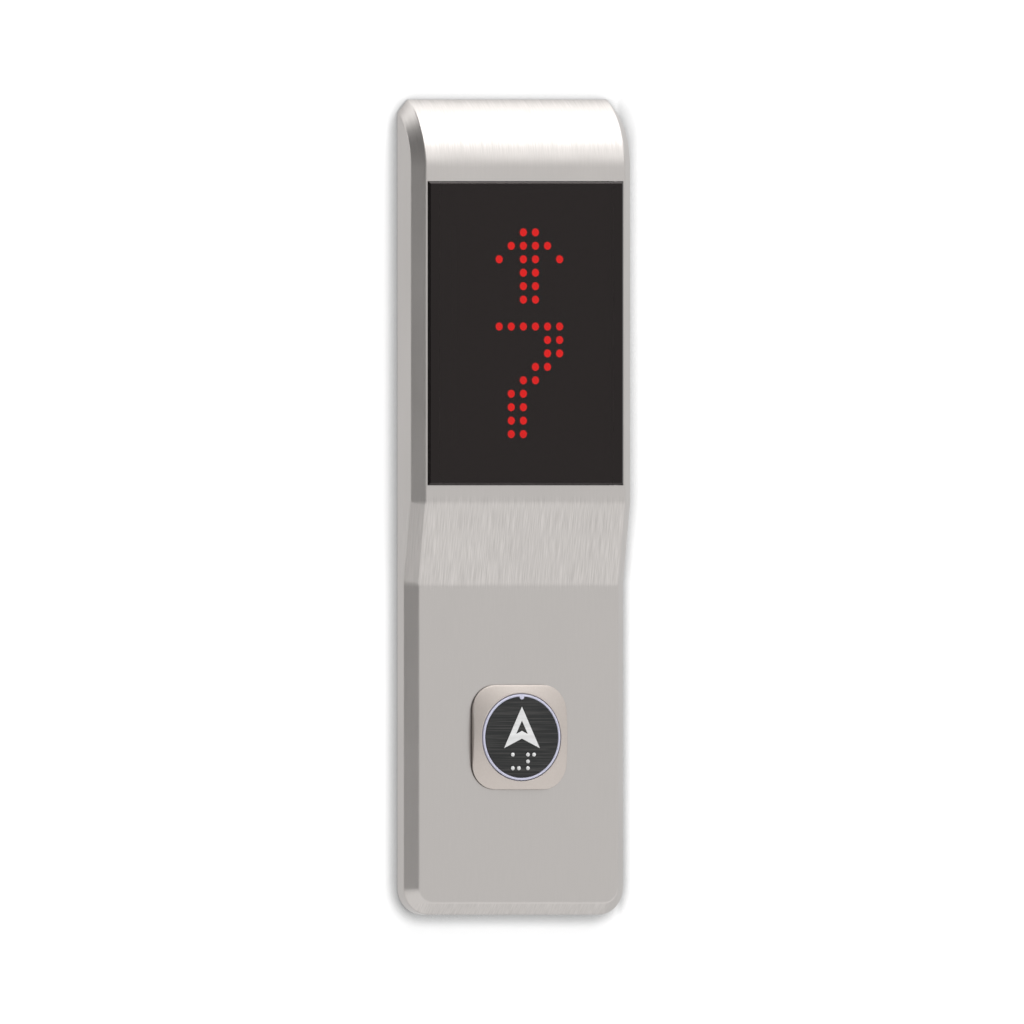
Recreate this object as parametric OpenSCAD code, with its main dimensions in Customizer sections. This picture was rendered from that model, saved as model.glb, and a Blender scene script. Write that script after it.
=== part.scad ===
// Elevator hall call panel: a stepped brushed cover with a dot-matrix display above one push button,
// hung on a flat wall plate.
// The pieces are drawn lying on the wall: x to the right, y up from mid-height, z out from the wall.
// upright() then stands the panel up, with its front towards -Y and its back on the plane Y = 0.

/* [Cover] */
// Width of the cover
cover_w = 90; // [88:0.5:110]
// Depth of the upper part, from the wall to its front face
upper_depth = 15.5; // [15:0.1:20]
// Depth of the lower part, from the wall to its front face
lower_depth = 9.5; // [9.2:0.1:12]
// Leg of the bevel round the front face
bevel = 4.2; // [3:0.1:5]
// Thickness of the cover's walls
wall = 1.5; // [1.2:0.1:1.8]
// Corner radius of the outline at the bottom
corner_r = 10; // [7:0.5:14]
// Height of the bend that takes the front back to the wall at the top
top_reach = 25.2; // [20:0.1:30]
// Height of the foot of the slope above the bottom edge
slope_foot = 121.5; // [112:0.5:128]
// Height of the head of the slope above the bottom edge
slope_head = 151.5; // [140:0.5:170]
// Gap between the cover's rim and the wall
rim_gap = 0.3; // [0.2:0.1:0.6]

/* [Wall plate] */
// Thickness of the wall plate
plate_t = 1.5; // [1.2:0.1:2]
// Gap between the plate's edge and the cover's walls
plate_gap = 0.3; // [0.2:0.1:0.6]
// Distance between the wall screws, across
wall_hole_pitch_x = 56; // [50:1:64]
// Distance of the wall screws from the cover's top and bottom edges
wall_hole_inset = 12; // [10:0.5:16]
// Radius of the holes for the wall screws
wall_hole_r = 2.25; // [1.75:0.05:2.75]
// Gap between the button's board and the cable bush above it
cable_gap = 5.1; // [2:0.1:10]
// Radius of the cable bush's bore
cable_r = 5; // [3:0.25:6]

/* [Cover fixing] */
// Distance between the hooks at the top
hook_pitch = 26; // [22:1:30]
// Width of a hook
hook_w = 10; // [6:0.5:12]
// Distance between the screws in the bottom edge
foot_screw_pitch = 50; // [40:1:56]
// Radius of the bottom screws' shank
foot_screw_r = 1; // [0.8:0.05:1.25]

/* [Display] */
// Height of the display window
window_h = 112; // [90:0.5:140]
// Gap between the head of the slope and the window
window_low_gap = 6.5; // [5:0.1:12]
// Strip of metal left between the window and the bevel
window_margin = 0.7; // [0.5:0.1:2]
// How far the lens stands out of the front face
lens_proud = 0.9; // [0.5:0.1:1.5]
// Thickness of the lens
lens_t = 3; // [2.5:0.1:3.5]
// Distance between the dots of the matrix
dot_pitch = 4.95; // [4.5:0.05:5.1]
// Radius of a dot
dot_r = 1.5; // [1:0.05:1.8]
// Height of a matrix block
block_h = 5; // [4:0.1:5.4]
// Gap between the display board and the cover's side walls
board_side_gap = 5.5; // [4.5:0.1:8]
// Thickness of the display board
board_t = 1.6; // [1:0.1:2]

/* [Button] */
// Height of the button's centre above the bottom edge
button_height = 65.3; // [55:0.1:72]
// Width of the bezel's sides beyond the hole for the button
bezel_land = 1.95; // [1.5:0.05:4]
// Corner radius of the bezel
bezel_corner_r = 9.5; // [9:0.25:11]
// How far the bezel stands out of the front face
bezel_proud = 2.9; // [2.7:0.1:3.5]
// Height of the bezel's sides at its corners, where they are lowest
bezel_edge_h = 0.3; // [0.2:0.05:0.6]
// Radius of the light ring round the button
ring_r = 15.85; // [14:0.05:16]
// Width of the light ring
ring_w = 0.95; // [0.6:0.05:1.5]
// Thickness of the button's face plate
face_t = 0.8; // [0.6:0.1:1]
// How far the button travels
travel = 1; // [0.5:0.1:1.2]
// Distance between the dots of the touch writing
touch_pitch = 2.5; // [2.3:0.05:2.6]

/* [Hidden] */
$fn = 64;
big = 400;

// Height of the cover: the lower part and slope, the window with what holds it, and the bend at the top
standoff_r = 2.3;
standoff_gap = 0.15;
bend_gap = 0.05;
window_high_gap = standoff_gap + 2*standoff_r + bend_gap;
cover_h = slope_head + window_low_gap + window_h + window_high_gap + top_reach;

// Heights above mid-height
foot_y = -cover_h/2;
slope_head_y = foot_y + slope_head;
window_y = slope_head_y + window_low_gap + window_h/2;
button_y = foot_y + button_height;
bend_y = cover_h/2 - top_reach;

// The cover's shape
slope_angle = atan((upper_depth - lower_depth)/(slope_head - slope_foot));
bend_drop = upper_depth - rim_gap;
top_bend_r = (pow(bend_drop, 2) + pow(top_reach, 2))/(2*bend_drop);
bend_z = upper_depth - top_bend_r;
upper_inner = upper_depth - wall;
lower_inner = lower_depth - wall;

// The wall plate and the cover's fixings
plate_top_gap = 0.8;
plate_top_r = 6;
plate_top_y = bend_y + sqrt(pow(top_bend_r - wall, 2) - pow(plate_t - bend_z, 2)) - plate_top_gap;
plate_hw = cover_w/2 - wall - plate_gap;
wall_hole_y = cover_h/2 - wall_hole_inset;
hook_y = wall_hole_y - plate_t;
hook_rise = 3;
hook_gap = 0.3;
lug_back = plate_t + hook_gap;
lug_t = 1.4;
hook_front = lug_back + lug_t + hook_gap;
foot_flange_y = foot_y + wall + plate_gap;
foot_flange_z = lower_inner - (bevel - wall*(2 - sqrt(2))) - plate_gap;
foot_flange_end = 8;
foot_flange_w = foot_screw_pitch + 2*foot_flange_end;
foot_screw_len = 8;
foot_screw_edge = 0.25;
foot_head_lip = 0.8;
foot_head_r = foot_screw_r + foot_head_lip;
foot_head_t = foot_head_lip;
screw_gap = 0.15;
nut_foot = wall + plate_gap + plate_t;
foot_screw_z = rim_gap + foot_screw_edge + screw_gap + foot_head_r;
thread_gap = 0.05;
nut_wall = 1;
nut_r = foot_screw_r + nut_wall;
nut_t = 2;
nut_gap = 0.3;
cable_flange = 2;
cable_flange_t = 1.4;
cable_wall = 1.2;

// The display, from the front to the back
window_w = cover_w - 2*bevel - 2*window_margin;
lens_gap = 0.15;
lens_bevel = 0.7;
lens_front = upper_depth + lens_proud;
lens_back = lens_front - lens_t;
tape_t = 0.4;
flange_reach = 4.2;
flange_root = 2;
flange_t = 1.4;
flange_w = 54;
dots_behind_lens = 0.5;
block_front = lens_back - dots_behind_lens;
block_back = block_front - block_h;
board_back = block_back - board_t;
dot_cols = 11;
block_rows = 8;
block_gap = 0.1;
block_pin_r = 0.25;
block_pin_gap = 0.15;
block_pin_out = 1;
block_pin_x = (dot_cols/2 - 1)*dot_pitch;
dot_sink = 0.1;
dot_t = 0.5;
board_edge = 3.4;
board_w = cover_w - 2*wall - 2*board_side_gap;
standoff_x = board_w/2 - board_edge - bend_gap;
standoff_y = window_h/2 + standoff_r + standoff_gap;
standoff_bore_r = 1.25;
board_h = 2*(standoff_y + board_edge);
board_corner_r = 2;
board_screw_len = 4;
pan_head_r = 2.2;
pan_head_t = 1.5;
chip_size = [9.9, 3.9, 1.5];
header_size = [26, 7, 2.9];

// What the display shows, top row first: an up arrow, a blank row and a 7
glyph = ["..##..", ".####.", "#.##.#", "..##..", "..##..", "..##..", "......", "######",
         "....##", "....##", "...##.", "..##..", ".##...", ".##...", ".##...", ".##..."];
dot_rows = len(glyph);
glyph_col = ceil((dot_cols - len(glyph[0]))/2);
function is_lit(col, row) = col >= glyph_col && glyph[row][col - glyph_col] == "#";
function dot_x(col) = (col - (dot_cols - 1)/2)*dot_pitch;
function dot_y(row) = window_y + ((dot_rows - 1)/2 - row)*dot_pitch;

// The button, from the front to the back
seal_t = 0.4;
bezel_back = lower_depth + seal_t;
bezel_front = lower_depth + bezel_proud;
bezel_lip = 1.6;
ring_gap = 0.25;
bore_r = ring_r + ring_gap;
cap_flange_w = 1.15;
flange_r = ring_r + cap_flange_w;
flange_gap = 0.3;
hole_r = flange_r + flange_gap;
bezel_side = 2*(hole_r + bezel_land);
bezel_corner_at = (bezel_side/2 - bezel_corner_r)*sqrt(2) + bezel_corner_r;
bezel_edge = bezel_back + bezel_edge_h;
// The bezel's dome passes through the rim of the bore and the edge at the corners
bezel_dome_z = (pow(bore_r, 2) + pow(bezel_front, 2) - pow(bezel_corner_at, 2) - pow(bezel_edge, 2))
  /(2*(bezel_front - bezel_edge));
bezel_dome_r = norm([bore_r, bezel_front - bezel_dome_z]);
cap_proud = 0.2;
cap_front = bezel_front + cap_proud;
face_r = ring_r - ring_w;
face_gap = 0.05;
face_back = cap_front - face_t;
web_t = 1.5;
web_back = face_back - web_t;
lip_back = bezel_front - bezel_lip;
stop_gap = 0.05;
cap_flange_front = lip_back - stop_gap;
cap_flange_t = 0.9;
cap_flange_back = cap_flange_front - cap_flange_t;
skirt_r = ring_r;
guide_gap = 0.3;
skirt_wall = 1.4;
boss_r = 2.2;
boss_wall = 1.15;
boss_at = (hole_r + boss_wall + boss_r)/sqrt(2);
carrier_screw_r = 0.95;
boss_gap = 0.15;
boss_bore_r = carrier_screw_r + thread_gap;
boss_bore_reach = 0.5;
boss_bore_top = bezel_back + boss_bore_reach;
arrow_clearance = 0.012;
key_r = 0.95;
touch_r = 0.75;
touch_rise = 0.45;
touch_pin_r = 0.5;
touch_cell_pitch = 6.2;
// Each mark of the touch writing: cell, column, row
touch_marks = [[0, 0, 0], [0, 0, 2], [0, 1, 2], [1, 0, 0], [1, 1, 0], [1, 0, 1], [1, 0, 2]];
touch_top = -6.4;
touch_left = -3.8;

// Inside the button
key_pcb_gap = 0.8;
key_pcb_t = 1;
key_pcb_back = plate_t + key_pcb_gap;
key_pcb_front = key_pcb_back + key_pcb_t;
carrier_side = 46;
carrier_corner_r = 6;
carrier_flange_t = 1.4;
carrier_flange_back = lower_inner - carrier_flange_t;
carrier_floor_t = 1;
cup_wall = 1;
cup_r = flange_r + cup_wall;
collar_gap = 0.1;
collar_r = hole_r - collar_gap;
collar_in_r = skirt_r + guide_gap;
collar_front = cap_flange_back - travel - stop_gap;
guide_len = 1.5;
skirt_back = collar_front - guide_len;
guide_key_w = 3;
guide_key_reach = 0.6;
guide_key_angles = [90, 210, 330];
guide_key_back = skirt_back - travel - 2*guide_gap;
switch_side = 6.2;
switch_h = 2.4;
switch_leg_w = 0.7;
switch_leg_t = 0.2;
switch_leg_reach = 0.8;
switch_leg_pitch = 4.5;
switch_leg_gap = 0.3;
plunger_r = 1.6;
plunger_gap = 0.15;
plunger_left_out = 0.1;
plunger_rise = travel + plunger_left_out;
plunger_front = key_pcb_front + switch_h + plunger_rise;
plunger_floor = 0.3;
plunger_len = switch_h + plunger_left_out - plunger_floor;
stem_gap = 0.1;
stem_r = 2.5;
spring_r = 6.6;
spring_wire_r = 0.3;
spring_turns = 4.5;
spring_gap = 0.3;
spring_seat_r = spring_r - spring_wire_r - spring_gap;
carrier_floor_front = key_pcb_front + carrier_floor_t;
switch_reach_x = switch_side/2 + switch_leg_reach;
switch_reach_y = (switch_leg_pitch + switch_leg_w)/2;
switch_hole_r = norm([switch_reach_x, switch_reach_y]) + switch_leg_gap;
led_count = 6;
led_at_r = 11.6;
led_size = [3, 2, 1.3];
led_hole_r = 2.2;
clip_w = 5;
clip_t = 1;
clip_gap = 0.15;
clip_catch = 0.6;
clip_catch_t = 0.4;
clip_angles = [30, 150, 270];
carrier_head_r = 1.8;
carrier_head_t = 1.3;
tongue_w = 14;
key_header_size = [10, 5.6, 2.7];
key_header_gap = 0.4;
tongue_reach = carrier_side/2 + key_header_size.y + 2*key_header_gap;
cable_y = button_y + tongue_reach + cable_gap + cable_r + cable_wall + cable_flange;

// Stands the panel up on its wall
module upright() {
  rotate([90, 0, 0]) children();
}

// The four places of a rectangle, and the two of a pair side by side
module at_corners(dx, dy) {
  for (sx = [-1, 1], sy = [-1, 1]) translate([sx*dx, sy*dy]) children();
}

module at_sides(dx) {
  for (s = [-1, 1]) translate([s*dx, 0]) children();
}

module rounded_rect(w, h, r) {
  square([w - 2*r, h], center = true);
  square([w, h - 2*r], center = true);
  at_corners(w/2 - r, h/2 - r) circle(r);
}

module ring(outer, inner, h) {
  difference() {
    cylinder(r = outer, h = h);
    translate([0, 0, -1]) cylinder(r = inner, h = h + 2);
  }
}

// Leg of the cover's bevel once the shape has shrunk by the distance inset on every side
function bevel_at(inset) = bevel - inset*(2 - sqrt(2));

// Cross-section of the cover, with its front at z = 0
module bar_section(inset) {
  hw = cover_w/2 - inset;
  b = bevel_at(inset);
  polygon([[-hw, -big], [hw, -big], [hw, -b], [hw - b, 0], [-hw + b, 0], [-hw, -b]]);
}

// A straight length of that section, which runs down from y = 0
module bar(inset, length) {
  rotate([90, 0, 0]) linear_extrude(length) bar_section(inset);
}

// The upper part: a straight length and a sloping one keep only what they share,
// so their bevels meet in a mitre at the head of the slope
module upper_part(inset) {
  intersection() {
    translate([0, bend_y, upper_depth - inset]) bar(inset, bend_y - foot_y - corner_r);
    translate([0, slope_head_y, upper_depth]) rotate([slope_angle, 0, 0])
      translate([0, big, -inset]) bar(inset, 2*big);
  }
}

// The bend at the top: the section turned about an axis across the panel
module top_bend(inset) {
  hw = cover_w/2 - inset;
  r = top_bend_r - inset;
  b = bevel_at(inset);
  intersection() {
    translate([0, bend_y, bend_z]) rotate([0, 90, 0])
      rotate_extrude() polygon([[0, -hw], [r - b, -hw], [r, b - hw], [r, hw - b], [r - b, hw], [0, hw]]);
    translate([-big, bend_y, -big]) cube(2*big);
  }
}

// The bottom end: a beveled edge between two rounded corners
module bottom_end(inset) {
  front = lower_depth - inset;
  r = corner_r - inset;
  b = bevel_at(inset);
  mid = cover_w/2 - corner_r;
  translate([-mid, 0, 0]) rotate([90, 0, 90]) linear_extrude(2*mid)
    translate([foot_y + corner_r, 0])
      polygon([[0, -big], [0, front], [b - r, front], [-r, front - b], [-r, -big]]);
  for (s = [0, 1]) translate([(2*s - 1)*mid, foot_y + corner_r, 0]) rotate([0, 0, 180 + 90*s])
    rotate_extrude(angle = 90) polygon([[0, -big], [r, -big], [r, front - b], [r - b, front], [0, front]]);
}

// The cover as a solid, shrunk by inset on every side and cut flat at the back
module cover_solid(inset, back) {
  intersection() {
    union() {
      bottom_end(inset);
      translate([0, slope_head_y, lower_depth - inset]) bar(inset, slope_head_y - foot_y - corner_r);
      upper_part(inset);
      top_bend(inset);
    }
    translate([-big, -big, back]) cube(2*big);
  }
}

// Lugs inside the top of the cover that drop behind the plate's hooks
module cover_lugs() {
  intersection() {
    translate([0, 0, lug_back]) linear_extrude(lug_t)
      at_sides(hook_pitch/2) translate([-hook_w/2, hook_y + plate_t + hook_gap]) square([hook_w, big]);
    cover_solid(wall/2, rim_gap);
  }
}

// Ways of the bottom screws, from the bottom edge up
module at_foot_screws() {
  for (s = [-1, 1]) translate([s*foot_screw_pitch/2, foot_y, foot_screw_z]) rotate([-90, 0, 0]) children();
}

module front_cover() {
  color("silver") upright() {
    difference() {
      cover_solid(0, rim_gap);
      cover_solid(wall, -1);
      translate([0, window_y, 0]) linear_extrude(big) square([window_w, window_h], center = true);
      translate([0, button_y, 0]) {
        cylinder(r = hole_r, h = big);
        at_corners(boss_at, boss_at) cylinder(r = boss_r + boss_gap, h = big);
      }
      at_foot_screws() {
        translate([0, 0, -1]) cylinder(r = foot_screw_r + screw_gap, h = wall + 2);
        cylinder(r1 = foot_head_r + screw_gap, r2 = foot_screw_r + screw_gap, h = foot_head_t);
      }
    }
    cover_lugs();
  }
}

module plate_outline() {
  bottom_r = corner_r - wall - plate_gap;
  difference() {
    union() {
      translate([-plate_hw, foot_flange_y + bottom_r])
        square([2*plate_hw, plate_top_y - plate_top_r - foot_flange_y - bottom_r]);
      translate([bottom_r - plate_hw, foot_flange_y]) square([2*(plate_hw - bottom_r), 2*bottom_r]);
      translate([plate_top_r - plate_hw, plate_top_y - 2*plate_top_r])
        square([2*(plate_hw - plate_top_r), 2*plate_top_r]);
      at_sides(plate_hw - bottom_r) translate([0, foot_flange_y + bottom_r]) circle(bottom_r);
      at_sides(plate_hw - plate_top_r) translate([0, plate_top_y - plate_top_r]) circle(plate_top_r);
    }
    at_corners(wall_hole_pitch_x/2, wall_hole_y) circle(wall_hole_r);
    translate([0, cable_y]) circle(cable_r + cable_wall);
  }
}

// A hook bent out of the plate, open towards the top
module plate_hook() {
  rotate([90, 0, 90]) linear_extrude(hook_w, center = true) {
    square([plate_t, hook_front + plate_t]);
    translate([0, hook_front]) square([plate_t + hook_rise, plate_t]);
  }
}

// The plate, its hooks and the flange at its foot, with a window in the bend behind each nut
module wall_plate() {
  color("gainsboro") upright() difference() {
    union() {
      linear_extrude(plate_t) plate_outline();
      at_sides(hook_pitch/2) translate([0, hook_y]) plate_hook();
      translate([-foot_flange_w/2, foot_flange_y, 0]) cube([foot_flange_w, plate_t, foot_flange_z]);
    }
    at_foot_screws() {
      cylinder(r = foot_screw_r + screw_gap, h = foot_screw_len);
      translate([-nut_r - nut_gap, 0, nut_foot]) cube([2*(nut_r + nut_gap), big, nut_t + nut_gap]);
    }
  }
}

module cover_screws() {
  socket_share = 0.6;
  color("dimgray") upright() at_foot_screws() difference() {
    union() {
      cylinder(r1 = foot_head_r, r2 = foot_screw_r, h = foot_head_t);
      cylinder(r = foot_screw_r, h = foot_screw_len);
    }
    translate([0, 0, -1]) cylinder(r = socket_share*foot_screw_r, h = 1 + socket_share*foot_head_t, $fn = 6);
  }
}

module press_nuts() {
  color("darkgray") upright() at_foot_screws()
    translate([0, 0, nut_foot]) ring(nut_r, foot_screw_r + thread_gap, nut_t);
}

// Bush that lines the cable hole: a sleeve with a flange on the inside
module cable_bush() {
  color("black") upright() translate([0, cable_y, 0]) difference() {
    union() {
      cylinder(r = cable_r + cable_wall, h = plate_t + cable_flange_t);
      translate([0, 0, plate_t]) cylinder(r = cable_r + cable_wall + cable_flange, h = cable_flange_t);
    }
    translate([0, 0, -1]) cylinder(r = cable_r, h = plate_t + cable_flange_t + 2);
  }
}

// A slab with its four front edges beveled
module beveled_slab(w, h, t, b) {
  intersection() {
    rotate([90, 0, 0]) linear_extrude(h, center = true)
      polygon([[-w/2, 0], [w/2, 0], [w/2, t - b], [w/2 - b, t], [b - w/2, t], [-w/2, t - b]]);
    rotate([90, 0, 90]) linear_extrude(w, center = true)
      polygon([[-h/2, 0], [h/2, 0], [h/2, t - b], [h/2 - b, t], [b - h/2, t], [-h/2, t - b]]);
  }
}

// The edges of the window that the lens's flanges start from, above and below, with y away from the window
module at_lens_flanges() {
  for (a = [0, 180]) translate([0, window_y, upper_inner - tape_t]) rotate([0, 0, a])
    translate([-flange_w/2, window_h/2, 0]) children();
}

module display_lens() {
  color([0.18, 0.16, 0.16]) upright() {
    translate([0, window_y, lens_back])
      beveled_slab(window_w - 2*lens_gap, window_h - 2*lens_gap, lens_t, lens_bevel);
    at_lens_flanges() translate([0, -flange_root, -flange_t]) {
      cube([flange_w, flange_root + flange_reach, flange_t]);
      cube([flange_w, flange_root - lens_gap, flange_t + tape_t + wall]);
    }
  }
}

module lens_tapes() {
  color("white") upright() at_lens_flanges() translate([0, lens_gap, 0])
    cube([flange_w, flange_reach - lens_gap, tape_t]);
}

// The dots of some rows of the matrix that are lit, or that are dark
module at_dots(first_row, last_row, lit) {
  for (col = [0 : dot_cols - 1], row = [first_row : last_row])
    if (is_lit(col, row) == lit) translate([dot_x(col), dot_y(row)]) children();
}

// The solder pins of some rows of the matrix, one near each end of a row
module at_block_pins(first_row, last_row) {
  for (row = [first_row : last_row]) translate([0, dot_y(row)]) at_sides(block_pin_x) children();
}

// A block of the matrix, with a well for every dot and pins that go through the board
module matrix_block(first_row) {
  last_row = first_row + block_rows - 1;
  mid_y = (dot_y(first_row) + dot_y(last_row))/2;
  pin_root = 0.5;
  color([0.1, 0.1, 0.1]) upright() {
    difference() {
      translate([0, mid_y, block_back]) linear_extrude(block_h)
        square([dot_cols*dot_pitch - block_gap, block_rows*dot_pitch - block_gap], center = true);
      translate([0, 0, block_front - dot_sink - dot_t]) linear_extrude(block_h)
        for (lit = [false, true]) at_dots(first_row, last_row, lit) circle(dot_r);
    }
    translate([0, 0, board_back - block_pin_out]) linear_extrude(block_pin_out + board_t + pin_root)
      at_block_pins(first_row, last_row) circle(block_pin_r);
  }
}

module matrix_block_upper() {
  matrix_block(0);
}

module matrix_block_lower() {
  matrix_block(block_rows);
}

// Resin that fills the dots' wells, a little below the block's face
module dots(lit) {
  upright() translate([0, 0, block_front - dot_sink - dot_t]) linear_extrude(dot_t)
    at_dots(0, dot_rows - 1, lit) circle(dot_r - block_gap/2);
}

module lit_dots() {
  color("red") dots(true);
}

module dark_dots() {
  color([0.25, 0.22, 0.22]) dots(false);
}

module at_standoffs() {
  translate([0, window_y, 0]) at_corners(standoff_x, standoff_y) children();
}

module display_board() {
  color("darkgreen") upright() difference() {
    translate([0, window_y, board_back]) linear_extrude(board_t)
      rounded_rect(board_w, board_h, board_corner_r);
    at_standoffs() cylinder(r = standoff_bore_r + screw_gap, h = big);
    at_block_pins(0, dot_rows - 1) cylinder(r = block_pin_r + block_pin_gap, h = big);
  }
}

// Posts on the inside of the cover that carry the board
module board_standoffs() {
  color("goldenrod") upright() at_standoffs()
    translate([0, 0, block_back]) ring(standoff_r, standoff_bore_r, upper_inner - block_back);
}

// A screw head that hangs from z = 0, with a cross cut half way into it
module pan_head(r, t) {
  slot_w = 0.5*r;
  slot_len = 1.4*r;
  translate([0, 0, -t]) difference() {
    cylinder(r = r, h = t);
    cube([slot_w, slot_len, t], center = true);
    cube([slot_len, slot_w, t], center = true);
  }
}

module board_screws() {
  color("lightgray") upright() at_standoffs() translate([0, 0, board_back]) {
    cylinder(r = standoff_bore_r - thread_gap, h = board_t + board_screw_len);
    pan_head(pan_head_r, pan_head_t);
  }
}

// A chip with a row of legs down each long side, lying on its back under the board
module chip(size, legs) {
  leg = 0.45;
  leg_reach = 1.05;
  translate([0, 0, -size.z]) linear_extrude(size.z) square([size.x, size.y], center = true);
  for (s = [-1, 1], k = [0 : legs - 1])
    translate([(k - (legs - 1)/2)*size.x/legs, s*(size.y + leg_reach)/2, -leg/2])
      cube([leg, leg_reach + leg, leg], center = true);
}

module driver_chips() {
  chip_pitch_y = 18;
  chip_pitch_x = 24;
  chip_legs = 8;
  color([0.12, 0.12, 0.13]) upright() translate([0, window_y, board_back])
    for (side = [-0.5, 0.5], row = [-1 : 1])
      translate([side*chip_pitch_x, row*chip_pitch_y, 0]) chip(chip_size, chip_legs);
}

// A shrouded pin header, open away from the board at the distance up
module pin_header(size, pins) {
  shroud = 0.8;
  pin = 0.64;
  pin_share = 0.7;
  difference() {
    linear_extrude(size.z) square([size.x, size.y], center = true);
    translate([0, 0, shroud]) linear_extrude(size.z)
      square([size.x - 2*shroud, size.y - 2*shroud], center = true);
  }
  for (k = [0 : pins - 1]) translate([(k - (pins - 1)/2)*(size.x - 4*shroud)/pins, 0, shroud/2])
    linear_extrude(pin_share*size.z) square(pin, center = true);
}

module wire_header() {
  header_pins = 10;
  header_inset = 13;
  color("ivory") upright() translate([0, window_y - board_h/2 + header_inset, board_back])
    rotate([180, 0, 0]) pin_header(header_size, header_pins);
}

// Moves to the button's axis
module at_button() {
  upright() translate([0, button_y, 0]) children();
}

// A solid through rings that all have the same number of points, each ring above the last
module loft(rings) {
  n = len(rings[0]);
  last = len(rings) - 1;
  sides = [for (i = [0 : last - 1], k = [0 : n - 1])
    [i*n + k, (i + 1)*n + k, (i + 1)*n + (k + 1)%n, i*n + (k + 1)%n]];
  bottom = [[for (k = [0 : n - 1]) k]];
  top = [[for (k = [n - 1 : -1 : 0]) last*n + k]];
  polyhedron([for (ring = rings) each ring], concat(bottom, sides, top));
}

// The bezel's pillow shape: a rounded square cut out of a dome, so its sides are lowest at the corners
module bezel_pillow() {
  intersection() {
    translate([0, 0, bezel_back]) linear_extrude(bezel_proud)
      rounded_rect(bezel_side, bezel_side, bezel_corner_r);
    translate([0, 0, bezel_dome_z]) sphere(bezel_dome_r, $fn = 256);
  }
}

module button_bezel() {
  color("antiquewhite") at_button() difference() {
    union() {
      bezel_pillow();
      translate([0, 0, lower_inner]) linear_extrude(bezel_back + bezel_edge_h/2 - lower_inner)
        at_corners(boss_at, boss_at) circle(boss_r);
    }
    translate([0, 0, -1]) cylinder(r = bore_r, h = big);
    translate([0, 0, -1]) cylinder(r = hole_r, h = lip_back + 1);
    at_corners(boss_at, boss_at) cylinder(r = boss_bore_r, h = boss_bore_top);
  }
}

module bezel_seal() {
  seal_inset = 0.6;
  color([0.15, 0.15, 0.15]) at_button() translate([0, 0, lower_depth]) linear_extrude(seal_t) difference() {
    rounded_rect(bezel_side - 2*seal_inset, bezel_side - 2*seal_inset, bezel_corner_r - seal_inset);
    circle(hole_r);
    at_corners(boss_at, boss_at) circle(boss_r + boss_gap);
  }
}

// Outline of the button's up arrow, a notched arrowhead, grown about its middle by a share of its size
module arrow_outline(grow) {
  half_w = 7.3;
  apex = 11.3;
  tail = -4;
  notch = -0.5;
  mid_y = 3.5;
  translate([0, mid_y]) scale(1 + grow) translate([0, -mid_y])
    polygon([[0, apex], [half_w, tail], [0, notch], [-half_w, tail]]);
}

// Outline of the smaller arrowhead inside it
module inlay_outline(grow) {
  half_w = 2.35;
  apex = 6.1;
  tail = 1.25;
  notch = 2.35;
  mid_y = 3.1;
  translate([0, mid_y]) scale(1 + grow) translate([0, -mid_y])
    polygon([[0, apex], [half_w, tail], [0, notch], [-half_w, tail]]);
}

// The keys on the button's skirt that stop it from turning, and their ways in the carrier
module at_guide_keys() {
  for (a = guide_key_angles) rotate([0, 0, a]) children();
}

// The moulded, light-guiding part of the button: ring, web, skirt with its keys, stem and the arrow
// that fills the face
module button_lens() {
  stem_back = plunger_front + stem_gap;
  spring_boss = 0.8;
  ring_round = 0.25;
  color("lavender") at_button() {
    rotate_extrude() polygon([
      [0, face_back], [face_r, face_back], [face_r, cap_front - ring_round], [face_r + ring_round, cap_front],
      [ring_r - ring_round, cap_front], [ring_r, cap_front - ring_round], [ring_r, cap_flange_front],
      [flange_r, cap_flange_front], [flange_r, cap_flange_back], [skirt_r, cap_flange_back],
      [skirt_r, skirt_back], [skirt_r - skirt_wall, skirt_back], [skirt_r - skirt_wall, web_back],
      [spring_seat_r, web_back], [spring_seat_r, web_back - spring_boss], [stem_r, web_back - spring_boss],
      [stem_r, stem_back], [0, stem_back]]);
    translate([0, 0, face_back]) linear_extrude(face_t) difference() {
      arrow_outline(0);
      inlay_outline(arrow_clearance);
    }
    intersection() {
      translate([0, face_r, face_back]) cylinder(r = key_r, h = face_t);
      cylinder(r = ring_r, h = big);
    }
    at_guide_keys() translate([skirt_r - skirt_wall/2, -guide_key_w/2, skirt_back])
      cube([skirt_wall/2 + guide_key_reach, guide_key_w, cap_flange_back + cap_flange_t/2 - skirt_back]);
  }
}

// The dark disc let into the front of the button
module button_face() {
  color([0.2, 0.2, 0.2]) at_button() difference() {
    translate([0, 0, face_back]) cylinder(r = face_r - face_gap, h = face_t);
    linear_extrude(big) arrow_outline(arrow_clearance);
    translate([0, face_r, 0]) cylinder(r = key_r + face_gap, h = big);
    at_touch_marks() cylinder(r = touch_pin_r + face_gap, h = big);
  }
}

// The small dark arrowhead that fills the hole in the arrow
module arrow_inlay() {
  color([0.2, 0.2, 0.2]) at_button() translate([0, 0, face_back]) linear_extrude(face_t) inlay_outline(0);
}

module at_touch_marks() {
  for (m = touch_marks) {
    mark_x = touch_left + m[0]*touch_cell_pitch + m[1]*touch_pitch;
    mark_y = touch_top - m[2]*touch_pitch;
    translate([mark_x, mark_y, 0]) children();
  }
}

// Domed pins of the touch writing, seated in the face
module touch_pins() {
  dome_r = (pow(touch_r, 2) + pow(touch_rise, 2))/(2*touch_rise);
  color("white") at_button() at_touch_marks() {
    translate([0, 0, face_back]) cylinder(r = touch_pin_r, h = face_t);
    translate([0, 0, cap_front]) rotate_extrude() intersection() {
      translate([0, touch_rise - dome_r]) circle(dome_r);
      square([touch_r, touch_rise]);
    }
  }
}

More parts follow.
